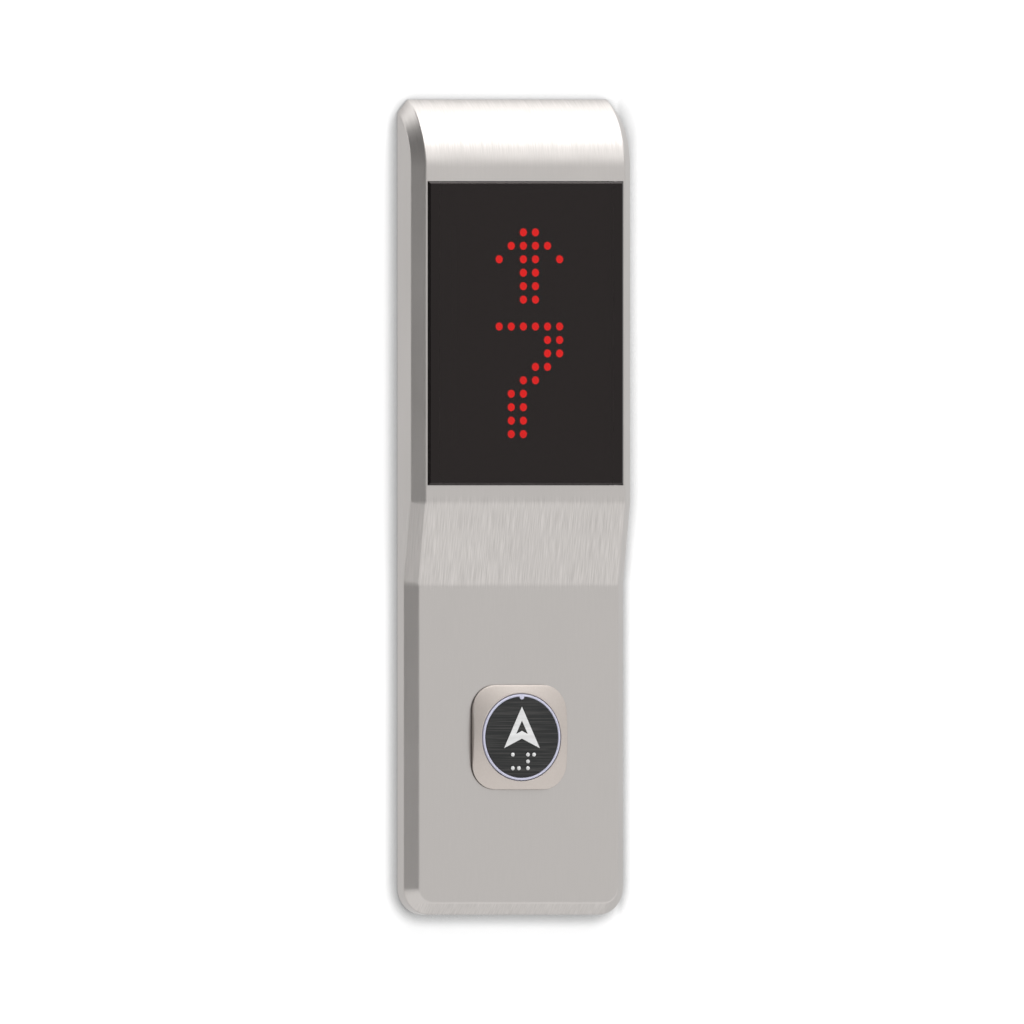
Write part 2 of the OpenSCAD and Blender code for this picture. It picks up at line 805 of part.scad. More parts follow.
// Gussets between the carrier's flange and its cup
module carrier_ribs() {
  rib_count = 6;
  rib_t = 1.2;
  rib_edge = 1;
  rib_foot = 0.8;
  bite = 0.4;
  root = cup_r - bite;
  reach = carrier_side/2 - rib_edge;
  low = key_pcb_front + rib_foot;
  top = carrier_flange_back + bite;
  for (k = [0 : rib_count - 1]) rotate([0, 0, 360*k/rib_count])
    rotate([90, 0, 0]) linear_extrude(rib_t, center = true)
      polygon([[root, low], [cup_r + rib_foot, low], [reach, top - 2*bite], [reach, top], [root, top]]);
}

// Frame behind the cover that clamps the bezel, guides the button and holds its board
module button_carrier() {
  clip_in = cup_r + clip_gap;
  clip_back = key_pcb_back - clip_catch_t - stop_gap;
  color([0.16, 0.16, 0.17]) at_button() {
    difference() {
      union() {
        translate([0, 0, carrier_flange_back]) linear_extrude(carrier_flange_t)
          rounded_rect(carrier_side, carrier_side, carrier_corner_r);
        translate([0, 0, key_pcb_front]) cylinder(r = cup_r, h = lower_inner - key_pcb_front);
        translate([0, 0, carrier_flange_back]) cylinder(r = collar_r, h = collar_front - carrier_flange_back);
      }
      translate([0, 0, carrier_floor_front]) cylinder(r = collar_in_r, h = big);
      cylinder(r = switch_hole_r, h = big);
      at_leds() cylinder(r = led_hole_r, h = big);
      at_corners(boss_at, boss_at) cylinder(r = carrier_screw_r + screw_gap, h = big);
      at_guide_keys() translate([skirt_r - skirt_wall, -guide_key_w/2 - guide_gap, guide_key_back])
        cube([skirt_wall + guide_key_reach + guide_gap, guide_key_w + 2*guide_gap, big]);
    }
    carrier_ribs();
    for (a = clip_angles) rotate([0, 0, a]) translate([0, -clip_w/2, clip_back]) {
      translate([clip_in, 0, 0]) cube([clip_t, clip_w, carrier_flange_back + carrier_flange_t/2 - clip_back]);
      translate([cup_r - clip_catch, 0, 0]) cube([clip_catch + clip_gap + clip_t/2, clip_w, clip_catch_t]);
    }
  }
}

module carrier_screws() {
  tip_gap = 0.2;
  color("lightgray") at_button() at_corners(boss_at, boss_at) {
    translate([0, 0, carrier_flange_back]) {
      cylinder(r = carrier_screw_r, h = boss_bore_top - tip_gap - carrier_flange_back);
      pan_head(carrier_head_r, carrier_head_t);
    }
  }
}

// Coil spring between the carrier's floor and the button's web: closed ends and open turns between them
module return_spring() {
  sides = 8;
  steps = 20;
  closed_turns = 0.75;
  low = carrier_floor_front + spring_wire_r;
  high = web_back - spring_wire_r;
  rise = high - low - 4*spring_wire_r*closed_turns;
  open_turns = spring_turns - 2*closed_turns;
  function coil_z(t) = low + 2*spring_wire_r*(min(t, closed_turns) + max(0, t - closed_turns - open_turns))
    + rise*min(1, max(0, (t - closed_turns)/open_turns));
  rings = [for (i = [0 : spring_turns*steps]) let (t = i/steps, a = 360*t)
    [for (k = [0 : sides - 1]) let (b = -360*k/sides, r = spring_r + spring_wire_r*cos(b))
      [r*cos(a), r*sin(a), coil_z(t) + spring_wire_r*sin(b)]]];
  color("gainsboro") at_button() loft(rings);
}

// The switch under the button's stem, with four legs soldered to the board
module switch_body() {
  switch_floor = 0.2;
  leg_root = 0.4;
  leg_len = switch_leg_reach + leg_root;
  color([0.1, 0.1, 0.1]) at_button() translate([0, 0, key_pcb_front]) {
    difference() {
      linear_extrude(switch_h) square(switch_side, center = true);
      translate([0, 0, switch_floor]) cylinder(r = plunger_r + plunger_gap, h = big);
    }
    linear_extrude(switch_leg_t) at_corners(switch_reach_x - leg_len/2, switch_leg_pitch/2)
      square([leg_len, switch_leg_w], center = true);
  }
}

module switch_plunger() {
  color("white") at_button() translate([0, 0, plunger_front - plunger_len])
    cylinder(r = plunger_r, h = plunger_len);
}

// Board of the button: a disc with a tongue for its header
module button_board() {
  color("darkgreen") at_button() translate([0, 0, key_pcb_back]) linear_extrude(key_pcb_t) {
    circle(cup_r);
    translate([-tongue_w/2, 0]) square([tongue_w, tongue_reach]);
  }
}

module at_leds() {
  for (k = [0 : led_count - 1]) rotate([0, 0, 360*k/led_count]) translate([led_at_r, 0, 0]) children();
}

module ring_leds() {
  color("ivory") at_button() at_leds()
    translate([0, 0, key_pcb_front]) linear_extrude(led_size.z)
      square([led_size.x, led_size.y], center = true);
}

module button_header() {
  header_pins = 4;
  header_y = tongue_reach - key_header_gap - key_header_size.y/2;
  color("ivory") at_button() translate([0, header_y, key_pcb_front]) pin_header(key_header_size, header_pins);
}

front_cover();
wall_plate();
cover_screws();
press_nuts();
cable_bush();
display_lens();
lens_tapes();
matrix_block_upper();
matrix_block_lower();
lit_dots();
dark_dots();
display_board();
board_standoffs();
board_screws();
driver_chips();
wire_header();
button_bezel();
bezel_seal();
button_lens();
button_face();
arrow_inlay();
touch_pins();
button_carrier();
carrier_screws();
return_spring();
switch_body();
switch_plunger();
button_board();
ring_leds();
button_header();
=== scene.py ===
# %% [markdown]
# # An elevator call panel, dressed for its portrait
# The panel is a slim stepped cover of brushed metal on a wall, with a smoked display above one lit
# push button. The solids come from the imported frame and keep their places. This lesson gives them
# skins and finishes: some pieces are modelled anew where the eye looks closely, and the others keep
# their solid and get a finish made of shader nodes.

import math

import bmesh
import bpy
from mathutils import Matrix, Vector


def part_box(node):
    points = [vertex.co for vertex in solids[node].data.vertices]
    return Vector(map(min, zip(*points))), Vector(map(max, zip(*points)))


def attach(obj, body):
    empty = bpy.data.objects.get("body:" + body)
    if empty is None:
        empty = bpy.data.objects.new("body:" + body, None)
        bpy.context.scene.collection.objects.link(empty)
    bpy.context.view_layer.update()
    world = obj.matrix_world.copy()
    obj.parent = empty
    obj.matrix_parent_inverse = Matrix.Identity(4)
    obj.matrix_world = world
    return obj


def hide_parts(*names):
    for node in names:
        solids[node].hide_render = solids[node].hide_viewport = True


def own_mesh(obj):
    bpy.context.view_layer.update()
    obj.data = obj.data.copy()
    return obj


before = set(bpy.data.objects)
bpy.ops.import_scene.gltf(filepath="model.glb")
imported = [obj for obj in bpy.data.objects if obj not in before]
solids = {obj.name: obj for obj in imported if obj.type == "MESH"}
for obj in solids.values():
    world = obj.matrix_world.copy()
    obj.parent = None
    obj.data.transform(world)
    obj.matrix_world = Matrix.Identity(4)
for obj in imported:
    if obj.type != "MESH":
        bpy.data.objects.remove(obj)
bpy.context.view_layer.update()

# %% [markdown]
# ## Measures
# A panel like this is thought of in millimetres: across, up from mid-height, and out from the wall.
# Blender works in metres with Z up and this front towards -Y, so one small function turns the first
# into the second. The cover's own sizes are written once here, and the box of its solid is printed to
# compare.

# %% Measures of the cover
MM = 0.001
HALF_W = 45.0
FOOT_Y = -150.0
HEAD_Y = 150.0
LOW_OUT = 9.5
HIGH_OUT = 15.5
RIM_OUT = 0.3
BEVEL = 4.2
CORNER_R = 10.0
SLOPE_FOOT_Y = -28.5
SLOPE_HEAD_Y = 1.5
BEND_Y = 124.8


def stand(across, up, out):
    """The place, in metres, of a point in the panel's own millimetres."""
    return Vector((across * MM, -out * MM, up * MM))


def in_mm(node):
    """Lowest and highest across, up and out of a solid, in millimetres."""
    low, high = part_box(node)
    return (low.x / MM, low.z / MM, -high.y / MM), (high.x / MM, high.z / MM, -low.y / MM)


cover_low, cover_high = in_mm("front_cover")
print("cover solid from", [round(v, 2) for v in cover_low], "to", [round(v, 2) for v in cover_high])

# %% [markdown]
# ## Helpers for pieces
# Every new piece is a mesh of its own that rides on a body of the frame and stands for one solid.
# Round edges read as metal or plastic only if the light rolls over them, so faces are shaded smooth
# and an edge stays hard only where the surface turns sharply.

# %% Helpers for pieces
SHARP_TURN = math.radians(35)


def link_piece(name, mesh, body, node):
    """Puts a mesh in the scene as the piece that stands for a solid."""
    mesh.shade_smooth()
    mesh.set_sharp_from_angle(angle=SHARP_TURN)
    piece = bpy.data.objects.new(name, mesh)
    bpy.context.scene.collection.objects.link(piece)
    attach(piece, body)
    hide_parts(node)
    print(name, "stands for", node, "with", len(mesh.polygons), "faces")
    return piece


def mesh_from(bm, name):
    """Turns a bmesh into a mesh with its faces pointing outwards."""
    bmesh.ops.recalc_face_normals(bm, faces=bm.faces)
    mesh = bpy.data.meshes.new(name)
    bm.to_mesh(mesh)
    bm.free()
    return mesh


# %% [markdown]
# ## Helpers for finishes
# A finish is a Principled shader fed by noise. Brushed metal, moulded plastic and solder mask differ
# in the size and stretch of that noise, in how far it moves the colour and the roughness, and in how
# deep it cuts as a bump. One function builds that chain, so each finish below is a short list of
# choices.

# %% Helpers for nodes
MIX_SOCKETS = {"FLOAT": (2, 3, 0), "RGBA": (6, 7, 2)}


def new_node(finish, kind, **inputs):
    """Adds a shader node and sets its inputs by name, with _ for a space."""
    node = finish.node_tree.nodes.new("ShaderNode" + kind)
    for name, value in inputs.items():
        node.inputs[name.replace("_", " ")].default_value = value
    return node


def join(finish, socket, node, name):
    """Runs a wire from a socket to a node's input."""
    finish.node_tree.links.new(socket, node.inputs[name])


def feed(finish, value, socket):
    """Wires a socket to an input, or sets the input to a plain value."""
    if isinstance(value, bpy.types.NodeSocket):
        finish.node_tree.links.new(value, socket)
    else:
        socket.default_value = value


def grain(finish, stretch, detail=4.0, coords="Object"):
    """Noise with spots 1/stretch long along each axis, or all ways if stretch is one number."""
    if isinstance(stretch, int):
        stretch = (stretch, stretch, stretch)
    place = new_node(finish, "TexCoord")
    spread = new_node(finish, "Mapping", Scale=stretch)
    noise = new_node(finish, "TexNoise", Scale=1.0, Detail=detail)
    join(finish, place.outputs[coords], spread, "Vector")
    join(finish, spread.outputs["Vector"], noise, "Vector")
    return noise.outputs["Fac"]


def axis_of(finish, axis, coords="Object"):
    """The place along X, Y or Z in metres, or a direction's part along it, as a socket."""
    place = new_node(finish, "TexCoord")
    split = new_node(finish, "SeparateXYZ")
    join(finish, place.outputs[coords], split, "Vector")
    return split.outputs[axis]


def maths(finish, operation, first, second=0.0):
    """One Math node fed by sockets or plain numbers."""
    node = new_node(finish, "Math")
    node.operation = operation
    feed(finish, first, node.inputs[0])
    feed(finish, second, node.inputs[1])
    return node.outputs["Value"]


def mixed(finish, share, first, second, kind="FLOAT"):
    """The first value where the share is 0 and the second where it is 1; kind is FLOAT or RGBA."""
    mix = new_node(finish, "Mix")
    mix.data_type = kind
    first_at, second_at, result_at = MIX_SOCKETS[kind]
    join(finish, share, mix, "Factor")
    feed(finish, first, mix.inputs[first_at])
    feed(finish, second, mix.inputs[second_at])
    return mix.outputs[result_at]


def dimmed(finish, colour, share):
    """A colour times a share, both as sockets."""
    product = new_node(finish, "VectorMath")
    product.operation = "SCALE"
    join(finish, colour, product, 0)
    join(finish, share, product, "Scale")
    return product.outputs["Vector"]


def between(finish, factor, low, high, start=0.3, end=0.7):
    """Maps a factor to a range of plain numbers."""
    span = new_node(finish, "MapRange", From_Min=start, From_Max=end, To_Min=low, To_Max=high)
    join(finish, factor, span, "Value")
    return span.outputs["Result"]


def shades(finish, factor, dark, light, start=0.3, end=0.7):
    """Maps a factor to a colour between two shades."""
    ramp = new_node(finish, "ValToRGB")
    first, last = ramp.color_ramp.elements
    first.position = start
    last.position = end
    first.color = (*dark, 1.0)
    last.color = (*light, 1.0)
    join(finish, factor, ramp, "Fac")
    return ramp.outputs["Color"]


# %% Helpers for finishes


def bare_finish(name):
    """A finish with nothing but its Principled shader."""
    finish = bpy.data.materials.new(name)
    finish.use_nodes = True
    return finish


def shader_of(finish):
    """The Principled shader of a finish."""
    return finish.node_tree.nodes["Principled BSDF"]


def colour_of(finish):
    """The socket that a finish takes its colour from."""
    return shader_of(finish).inputs["Base Color"].links[0].from_socket


def cut_in(finish, height, depth):
    """Cuts a factor into the surface, as a bump of a depth in mm."""
    bump = new_node(finish, "Bump", Strength=1.0, Distance=depth * MM)
    join(finish, height, bump, "Height")
    join(finish, bump.outputs["Normal"], shader_of(finish), "Normal")


def new_finish(name, dark, light, stretch, rough, depth, metal=0.0, ramp=(0.3, 0.7)):
    """A finish whose colour, roughness and bump, of a depth in mm, follow one noise."""
    finish = bare_finish(name)
    shader = shader_of(finish)
    shader.inputs["Metallic"].default_value = metal
    factor = grain(finish, stretch)
    join(finish, shades(finish, factor, dark, light, *ramp), shader, "Base Color")
    join(finish, between(finish, factor, *rough), shader, "Roughness")
    cut_in(finish, factor, depth)
    return finish


def dress(piece, finish):
    """Gives a piece one finish all over."""
    piece.data.materials.clear()
    piece.data.materials.append(finish)


# %% [markdown]
# ## Brushed metal
# The cover is drawn through an abrasive belt from top to bottom, which leaves fine upright scratches,
# a third of a millimetre wide and a centimetre long. The photo shows them best where the metal leans,
# on the slope, the bend and the foot, so the scratches gain contrast there. They follow the unrolled
# length of the metal, which the cover's UV map holds in millimetres.

# %% Brushed metal
STEEL_DARK = (0.390, 0.371, 0.357)
STEEL_LIGHT = (0.520, 0.495, 0.478)
STEEL_ROUGH = (0.30, 0.38)
SCRATCHES = (2.8, 0.10, 1.0)
SCRATCH_DEPTH = 0.006
CLOUDS = (0.05, 0.02, 1.0)
MIDDLE_GREY = 0.5
SLOPE_FADE = 3.0
BEND_FADE = 9.0
SOLE_FADE = 0.5
BEVEL_FADE = 1.0
FLAT_CONTRAST = 0.08
BEND_CONTRAST = 0.8
BEVEL_CONTRAST = 0.4
SOLE_CONTRAST = 0.7


def leaning(finish):
    """A socket that is 1 on the slope, less on the bend, foot and bevels, and 0 on the flats."""
    up = axis_of(finish, "Z")
    slope_foot = between(finish, up, 0.0, 1.0, (SLOPE_FOOT_Y - SLOPE_FADE) * MM, SLOPE_FOOT_Y * MM)
    slope_head = between(finish, up, 1.0, 0.0, SLOPE_HEAD_Y * MM, (SLOPE_HEAD_Y + SLOPE_FADE) * MM)
    slope = maths(finish, "MULTIPLY", slope_foot, slope_head)
    bend = between(finish, up, 0.0, BEND_CONTRAST, BEND_Y * MM, (BEND_Y + BEND_FADE) * MM)
    sole_end = (FOOT_Y + BEVEL) * MM
    sole = between(finish, up, SOLE_CONTRAST, 0.0, sole_end - SOLE_FADE * MM, sole_end)
    leans = maths(finish, "MAXIMUM", slope, maths(finish, "MAXIMUM", bend, sole))
    off_middle = maths(finish, "ABSOLUTE", axis_of(finish, "X"))
    bevel_start = (HALF_W - BEVEL) * MM
    bevel = between(finish, off_middle, 1.0, BEVEL_CONTRAST, bevel_start - BEVEL_FADE * MM, bevel_start)
    return maths(finish, "MULTIPLY", leans, bevel)


brushed = bare_finish("brushed_cover_metal")
steel = shader_of(brushed)
steel.inputs["Metallic"].default_value = 1.0
scratches = grain(brushed, SCRATCHES, detail=2.0, coords="UV")
clouds = grain(brushed, CLOUDS, detail=2.0, coords="UV")
contrast = between(brushed, leaning(brushed), FLAT_CONTRAST, 1.0, 0.0, 1.0)
streaks = mixed(brushed, contrast, MIDDLE_GREY, scratches)
join(brushed, shades(brushed, streaks, STEEL_DARK, STEEL_LIGHT), steel, "Base Color")
join(brushed, between(brushed, clouds, *STEEL_ROUGH), steel, "Roughness")
cut_in(brushed, streaks, SCRATCH_DEPTH)
print("brushed metal:", len(brushed.node_tree.nodes), "nodes")

# %% [markdown]
# ## The cover's edge
# Seen along its length, the edge of the cover is a side wall, a bevel and the start of the front, with
# both corners softened by the polishing. It could be bevelled with a modifier, but the bevel also has
# to climb the slope, bow over the top and turn the corners at the foot, so it is swept as one strip:
# each station of the path carries the same cross-section.

# %% Cross-section and path of the edge
EDGE_R = 1.1
BEND_SOFT_R = 9.0
TRIM_OUT = RIM_OUT - 2.0
FRONT_REACH = BEVEL + 0.55
SLOPE = math.atan2(HIGH_OUT - LOW_OUT, SLOPE_HEAD_Y - SLOPE_FOOT_Y)
TOP_R = ((HIGH_OUT - RIM_OUT) ** 2 + (HEAD_Y - BEND_Y) ** 2) / (2 * (HIGH_OUT - RIM_OUT))
SOFT_STEPS = 6
BOW_STEPS = 40
BOW_TURN = math.radians(68)
SLOPE_START = 1
SLOPE_END = SLOPE_START + 2 * SOFT_STEPS + 1


def soften(corners, radius, steps=5):
    """An open line through the corners, with the inner ones rounded to the radius."""
    line = [corners[0]]
    for before, corner, after in zip(corners, corners[1:], corners[2:]):
        into = (Vector(before) - Vector(corner)).normalized()
        away = (Vector(after) - Vector(corner)).normalized()
        half = into.angle(away) / 2
        reach = radius / math.tan(half)
        middle = Vector(corner) + (into + away).normalized() * radius / math.sin(half)
        start = Vector(corner) + into * reach - middle
        end = Vector(corner) + away * reach - middle
        turn = start.angle(end)
        for k in range(steps + 1):
            ahead = math.sin(turn * k / steps) / math.sin(turn)
            behind = math.sin(turn * (1 - k / steps)) / math.sin(turn)
            line.append(tuple(middle + start * behind + end * ahead))
    line.append(corners[-1])
    return line


WALL_START = BEVEL + EDGE_R
edge_line = soften([(0.0, WALL_START), (0.0, BEVEL), (BEVEL, 0.0), (FRONT_REACH, 0.0)], EDGE_R)


def front_path():
    """Stations up the front as (up, out, lean), from above the foot's corners to past the rim."""
    reach = BEND_SOFT_R * math.tan(SLOPE / 2)
    path = [(FOOT_Y + CORNER_R, LOW_OUT, 0.0)]
    for k in range(SOFT_STEPS + 1):
        lean_now = SLOPE * k / SOFT_STEPS
        up = SLOPE_FOOT_Y - reach + BEND_SOFT_R * math.sin(lean_now)
        path.append((up, LOW_OUT + BEND_SOFT_R * (1 - math.cos(lean_now)), lean_now))
    for k in range(SOFT_STEPS + 1):
        lean_now = SLOPE * (1 - k / SOFT_STEPS)
        up = SLOPE_HEAD_Y + reach - BEND_SOFT_R * math.sin(lean_now)
        path.append((up, HIGH_OUT - BEND_SOFT_R * (1 - math.cos(lean_now)), lean_now))
    for k in range(BOW_STEPS + 1):
        bow = BOW_TURN * k / BOW_STEPS
        path.append((BEND_Y + TOP_R * math.sin(bow), HIGH_OUT - TOP_R * (1 - math.cos(bow)), -bow))
    return path


path = front_path()
print("edge points:", len(edge_line), "stations up a side:", len(path), "top radius:", round(TOP_R, 2))

# %% [markdown]
# ## The cover's skin
# The strip runs from the top down the left side, round the corner, along the foot, round again and up
# the right side. Between its inner edges lie the fronts: quads on the slope and the bend, and two
# filled flats that leave the display window and the button's hole open. A Solidify modifier gives the
# sheet its thickness. The strip overshoots the rim, and the thick sheet is then trimmed on one plane,
# as the real cover is cut off square to the wall.

# %% Sweep the edge strip
CORNER_STEPS = 14
strip = []
strip_uv = []


def unrolled(stations):
    """Length along the path to each station."""
    lengths = [stations[0][0]]
    for before, after in zip(stations, stations[1:]):
        lengths.append(lengths[-1] + math.dist(before[:2], after[:2]))
    return lengths


def across_edge():
    """Length across the edge strip to each of its points, from the side wall to the front."""
    lengths = [0.0]
    for before, after in zip(edge_line, edge_line[1:]):
        lengths.append(lengths[-1] + math.dist(before, after))
    return lengths


climbs = unrolled(path)
widths = across_edge()


def add_row(row, uv):
    """Adds a cross-section to the strip, with the side wall dropped straight past the rim."""
    wall_top = row[0]
    drop_to = max(-TRIM_OUT * MM, wall_top.y + MM)
    drop = (drop_to - wall_top.y) / MM
    strip.append([Vector((wall_top.x, drop_to, wall_top.z))] + row)
    away = math.copysign(drop, uv[0][0] - uv[1][0])
    strip_uv.append([(uv[0][0] + away, uv[0][1])] + uv)


def side_row(side, station, climb):
    """One cross-section on the left (-1) or right (1) side."""
    up, out, lean_now = station
    row = []
    uv = []
    for (inset, depth), width in zip(edge_line, widths):
        rise = depth * math.sin(lean_now)
        sink = depth * math.cos(lean_now)
        row.append(stand(side * (HALF_W - inset), up + rise, out - sink))
        uv.append((side * (HALF_W - FRONT_REACH + widths[-1] - width), climb))
    add_row(row, uv)


def corner_row(side, turn):
    """One cross-section on the rounded corner, turn 0 at the side and 90 degrees at the foot."""
    row = []
    uv = []
    for inset, depth in edge_line:
        across = side * (HALF_W - CORNER_R + (CORNER_R - inset) * math.cos(turn))
        up = FOOT_Y + CORNER_R - (CORNER_R - inset) * math.sin(turn)
        row.append(stand(across, up, LOW_OUT - depth))
        uv.append((across, up - depth))
    add_row(row, uv)


def foot_row():
    """The cross-section at the middle of the foot."""
    row = [stand(0.0, FOOT_Y + inset, LOW_OUT - depth) for inset, depth in edge_line]
    add_row(row, [(0.0, FOOT_Y + inset - depth) for inset, depth in edge_line])


for station, climb in zip(reversed(path), reversed(climbs)):
    side_row(-1, station, climb)
for k in range(1, CORNER_STEPS + 1):
    corner_row(-1, math.pi / 2 * k / CORNER_STEPS)
foot_row()
for k in range(CORNER_STEPS, 0, -1):
    corner_row(1, math.pi / 2 * k / CORNER_STEPS)
for station, climb in zip(path, climbs):
    side_row(1, station, climb)
print("strip rows:", len(strip))

# %% Skin of the strip and the fronts
WINDOW_HALF_W = 40.1
WINDOW_LOW_Y = 8.0
WINDOW_HIGH_Y = 120.0
BUTTON_Y = -84.7
BUTTON_HOLE_R = 17.3
HOLE_STEPS = 128
SHEET = 1.05

skin = bmesh.new()
uv_layer = skin.loops.layers.uv.new("unrolled")
spots = [[skin.verts.new(point) for point in row] for row in strip]
place_uv = {}
for row, row_uv in zip(spots, strip_uv):
    for vert, uv in zip(row, row_uv):
        place_uv[vert] = uv


def add_face(verts):
    """A face whose UV comes from its corners' unrolled places."""
    face = skin.faces.new(verts)
    for loop in face.loops:
        loop[uv_layer].uv = place_uv[loop.vert]


for row, after in zip(spots, spots[1:]):
    for k in range(len(edge_line)):
        add_face([row[k], row[k + 1], after[k + 1], after[k]])

print("strip faces:", len(skin.faces))
left = [row[-1] for row in reversed(spots[: len(path)])]
right = [row[-1] for row in spots[-len(path):]]
foot = [row[-1] for row in spots[len(path): -len(path)]]


def add_spot(across, up, out, climb):
    """A corner on the front, with its place on the unrolled metal."""
    vert = skin.verts.new(stand(across, up, out))
    place_uv[vert] = (across, climb)
    return vert


spine = [add_spot(0.0, up, out, climb) for (up, out, _), climb in zip(path, climbs)]
for k in list(range(SLOPE_START, SLOPE_END)) + list(range(SLOPE_END + 1, len(path) - 1)):
    add_face([left[k], left[k + 1], spine[k + 1], spine[k]])
    add_face([spine[k], spine[k + 1], right[k + 1], right[k]])

# %% Flats with the button's hole and the window
half_hole = HOLE_STEPS // 2
hole = []
for k in range(HOLE_STEPS):
    turn = 2 * math.pi * k / HOLE_STEPS + math.pi / 2
    up = BUTTON_Y + BUTTON_HOLE_R * math.sin(turn)
    hole.append(add_spot(BUTTON_HOLE_R * math.cos(turn), up, LOW_OUT, up))
foot_mid = len(foot) // 2
left_half = hole[: half_hole + 1]
right_half = [hole[0]] + hole[:half_hole - 1:-1]
add_face(left_half + foot[foot_mid::-1] + [left[0], left[1], spine[1]])
add_face(right_half + foot[foot_mid:] + [right[0], right[1], spine[1]])

flat_climb = climbs[SLOPE_END] - path[SLOPE_END][0]
window = {}
for side in (-1, 1):
    for up in (WINDOW_LOW_Y, WINDOW_HIGH_Y):
        window[side, up] = add_spot(side * WINDOW_HALF_W, up, HIGH_OUT, flat_climb + up)
low_left, low_right = window[-1, WINDOW_LOW_Y], window[1, WINDOW_LOW_Y]
high_left, high_right = window[-1, WINDOW_HIGH_Y], window[1, WINDOW_HIGH_Y]
above = SLOPE_END + 1
add_face([left[SLOPE_END], spine[SLOPE_END], right[SLOPE_END], low_right, low_left])
add_face([right[SLOPE_END], right[above], high_right, low_right])
add_face([right[above], spine[above], left[above], high_left, high_right])
add_face([left[above], left[SLOPE_END], low_left, high_left])
skin.verts.remove(spine[0])

cover_mesh = mesh_from(skin, "cover_skin")
left_wall_out = cover_mesh.polygons[0].normal.x < 0
if not left_wall_out:
    cover_mesh.flip_normals()
print("cover skin:", len(cover_mesh.polygons), "faces")

# %% Thicken the sheet and trim the rim


def thickened(mesh, thickness):
    """A mesh with a thickness in mm laid behind it, so that its new edges can be marked sharp."""
    sheet = bpy.data.objects.new(mesh.name, mesh)
    bpy.context.scene.collection.objects.link(sheet)
    back = sheet.modifiers.new("sheet", "SOLIDIFY")
    back.thickness = thickness * MM
    back.offset = -1.0
    back.use_even_offset = True
    seen_sheet = sheet.evaluated_get(bpy.context.evaluated_depsgraph_get())
    solid = bpy.data.meshes.new_from_object(seen_sheet)
    bpy.data.objects.remove(sheet)
    return solid


def trimmed(mesh, out):
    """A closed mesh cut off at a distance from the wall, in mm, with the cut closed again."""
    bm = bmesh.new()
    bm.from_mesh(mesh)
    everything = bm.verts[:] + bm.edges[:] + bm.faces[:]
    cut = bmesh.ops.bisect_plane(
        bm, geom=everything, plane_co=stand(0, 0, out), plane_no=(0, 1, 0), clear_outer=True
    )
    rim = [part for part in cut["geom_cut"] if isinstance(part, bmesh.types.BMEdge)]
    bmesh.ops.triangle_fill(bm, edges=rim, use_beauty=True)
    open_edges = sum(not edge.is_manifold for edge in bm.edges)
    print("rim edges:", len(rim), "open edges left:", open_edges)
    return mesh_from(bm, mesh.name)


def even_light(piece):
    """Lets the large faces rule the shading, so that flats stay flat up to their rounded edges."""
    calm = piece.modifiers.new("even_light", "WEIGHTED_NORMAL")
    calm.keep_sharp = True


cover_solid = trimmed(thickened(cover_mesh, SHEET), RIM_OUT)
cover = link_piece("brushed_cover", cover_solid, "panel", "front_cover")
even_light(cover)
dress(cover, brushed)

# %% [markdown]
# ## Softened copies of solids
# Many solids already have the right shape and only lack the tiny roundings that every moulded or cut
# edge has. For those, a copy of the solid's mesh is cleaned of its flat triangles and its sharp edges
# are bevelled by a fraction of a millimetre. The copy stands for the solid.

# %% Helper for softened copies
FLAT_TURN = math.radians(0.5)
EDGE_TURN = math.radians(30)
SAME_SPOT = 1e-6


def softened(name, node, width, body, finish, steps=2):
    """A copy of a solid with its edges rounded to a width in mm."""
    bm = bmesh.new()
    bm.from_mesh(solids[node].data)
    bmesh.ops.remove_doubles(bm, verts=bm.verts, dist=SAME_SPOT)
    bmesh.ops.dissolve_limit(bm, angle_limit=FLAT_TURN, verts=bm.verts, edges=bm.edges)
    piece = link_piece(name, mesh_from(bm, name), body, node)
    rounding = piece.modifiers.new("rounding", "BEVEL")
    rounding.width = width * MM
    rounding.segments = steps
    rounding.limit_method = "ANGLE"
    rounding.angle_limit = EDGE_TURN
    even_light(piece)
    dress(piece, finish)
    return piece


# %% [markdown]
# ## The smoked display
# The window is a slab of smoked acrylic: almost black, glossy, with polished edges, and just clear
# enough for lit dots to shine through. The shader is a dark Principled one that lets part of the light
# through, so the dots really sit behind it. Faint wipe marks vary the gloss. As on most such windows, a
# border printed black hides the edges of the blocks.

# %% Smoked lens
SMOKE_DARK = (0.0320, 0.0282, 0.0277)
SMOKE_LIGHT = (0.0360, 0.0315, 0.0310)
PRINT_START = 35.5
PRINT_FADE = 0.3
WIPE_MARKS = (25, 25, 60)
LENS_ROUGH = (0.04, 0.07)
LENS_IOR = 1.38
LENS_GLOSS_TINT = (1.0, 0.86, 0.84, 1.0)
LENS_SOFT = 0.12

smoked = new_finish("smoked_acrylic", SMOKE_DARK, SMOKE_LIGHT, WIPE_MARKS, LENS_ROUGH, 0.0)
smoked_shader = shader_of(smoked)
off_middle = maths(smoked, "ABSOLUTE", axis_of(smoked, "X"))
clear_share = between(smoked, off_middle, 1.0, 0.0, PRINT_START * MM, (PRINT_START + PRINT_FADE) * MM)
join(smoked, dimmed(smoked, colour_of(smoked), clear_share), smoked_shader, "Base Color")
smoked_shader.inputs["Transmission Weight"].default_value = 1.0
smoked_shader.inputs["IOR"].default_value = LENS_IOR
smoked_shader.inputs["Specular Tint"].default_value = LENS_GLOSS_TINT
softened("smoked_lens", "display_lens", LENS_SOFT, "panel", smoked)

# %% Matrix blocks and dots
PIN_ROOT = 7.9
TIN = (0.60, 0.60, 0.58)
TIN_FADE = 0.03
DOT_GLOW = 20.0


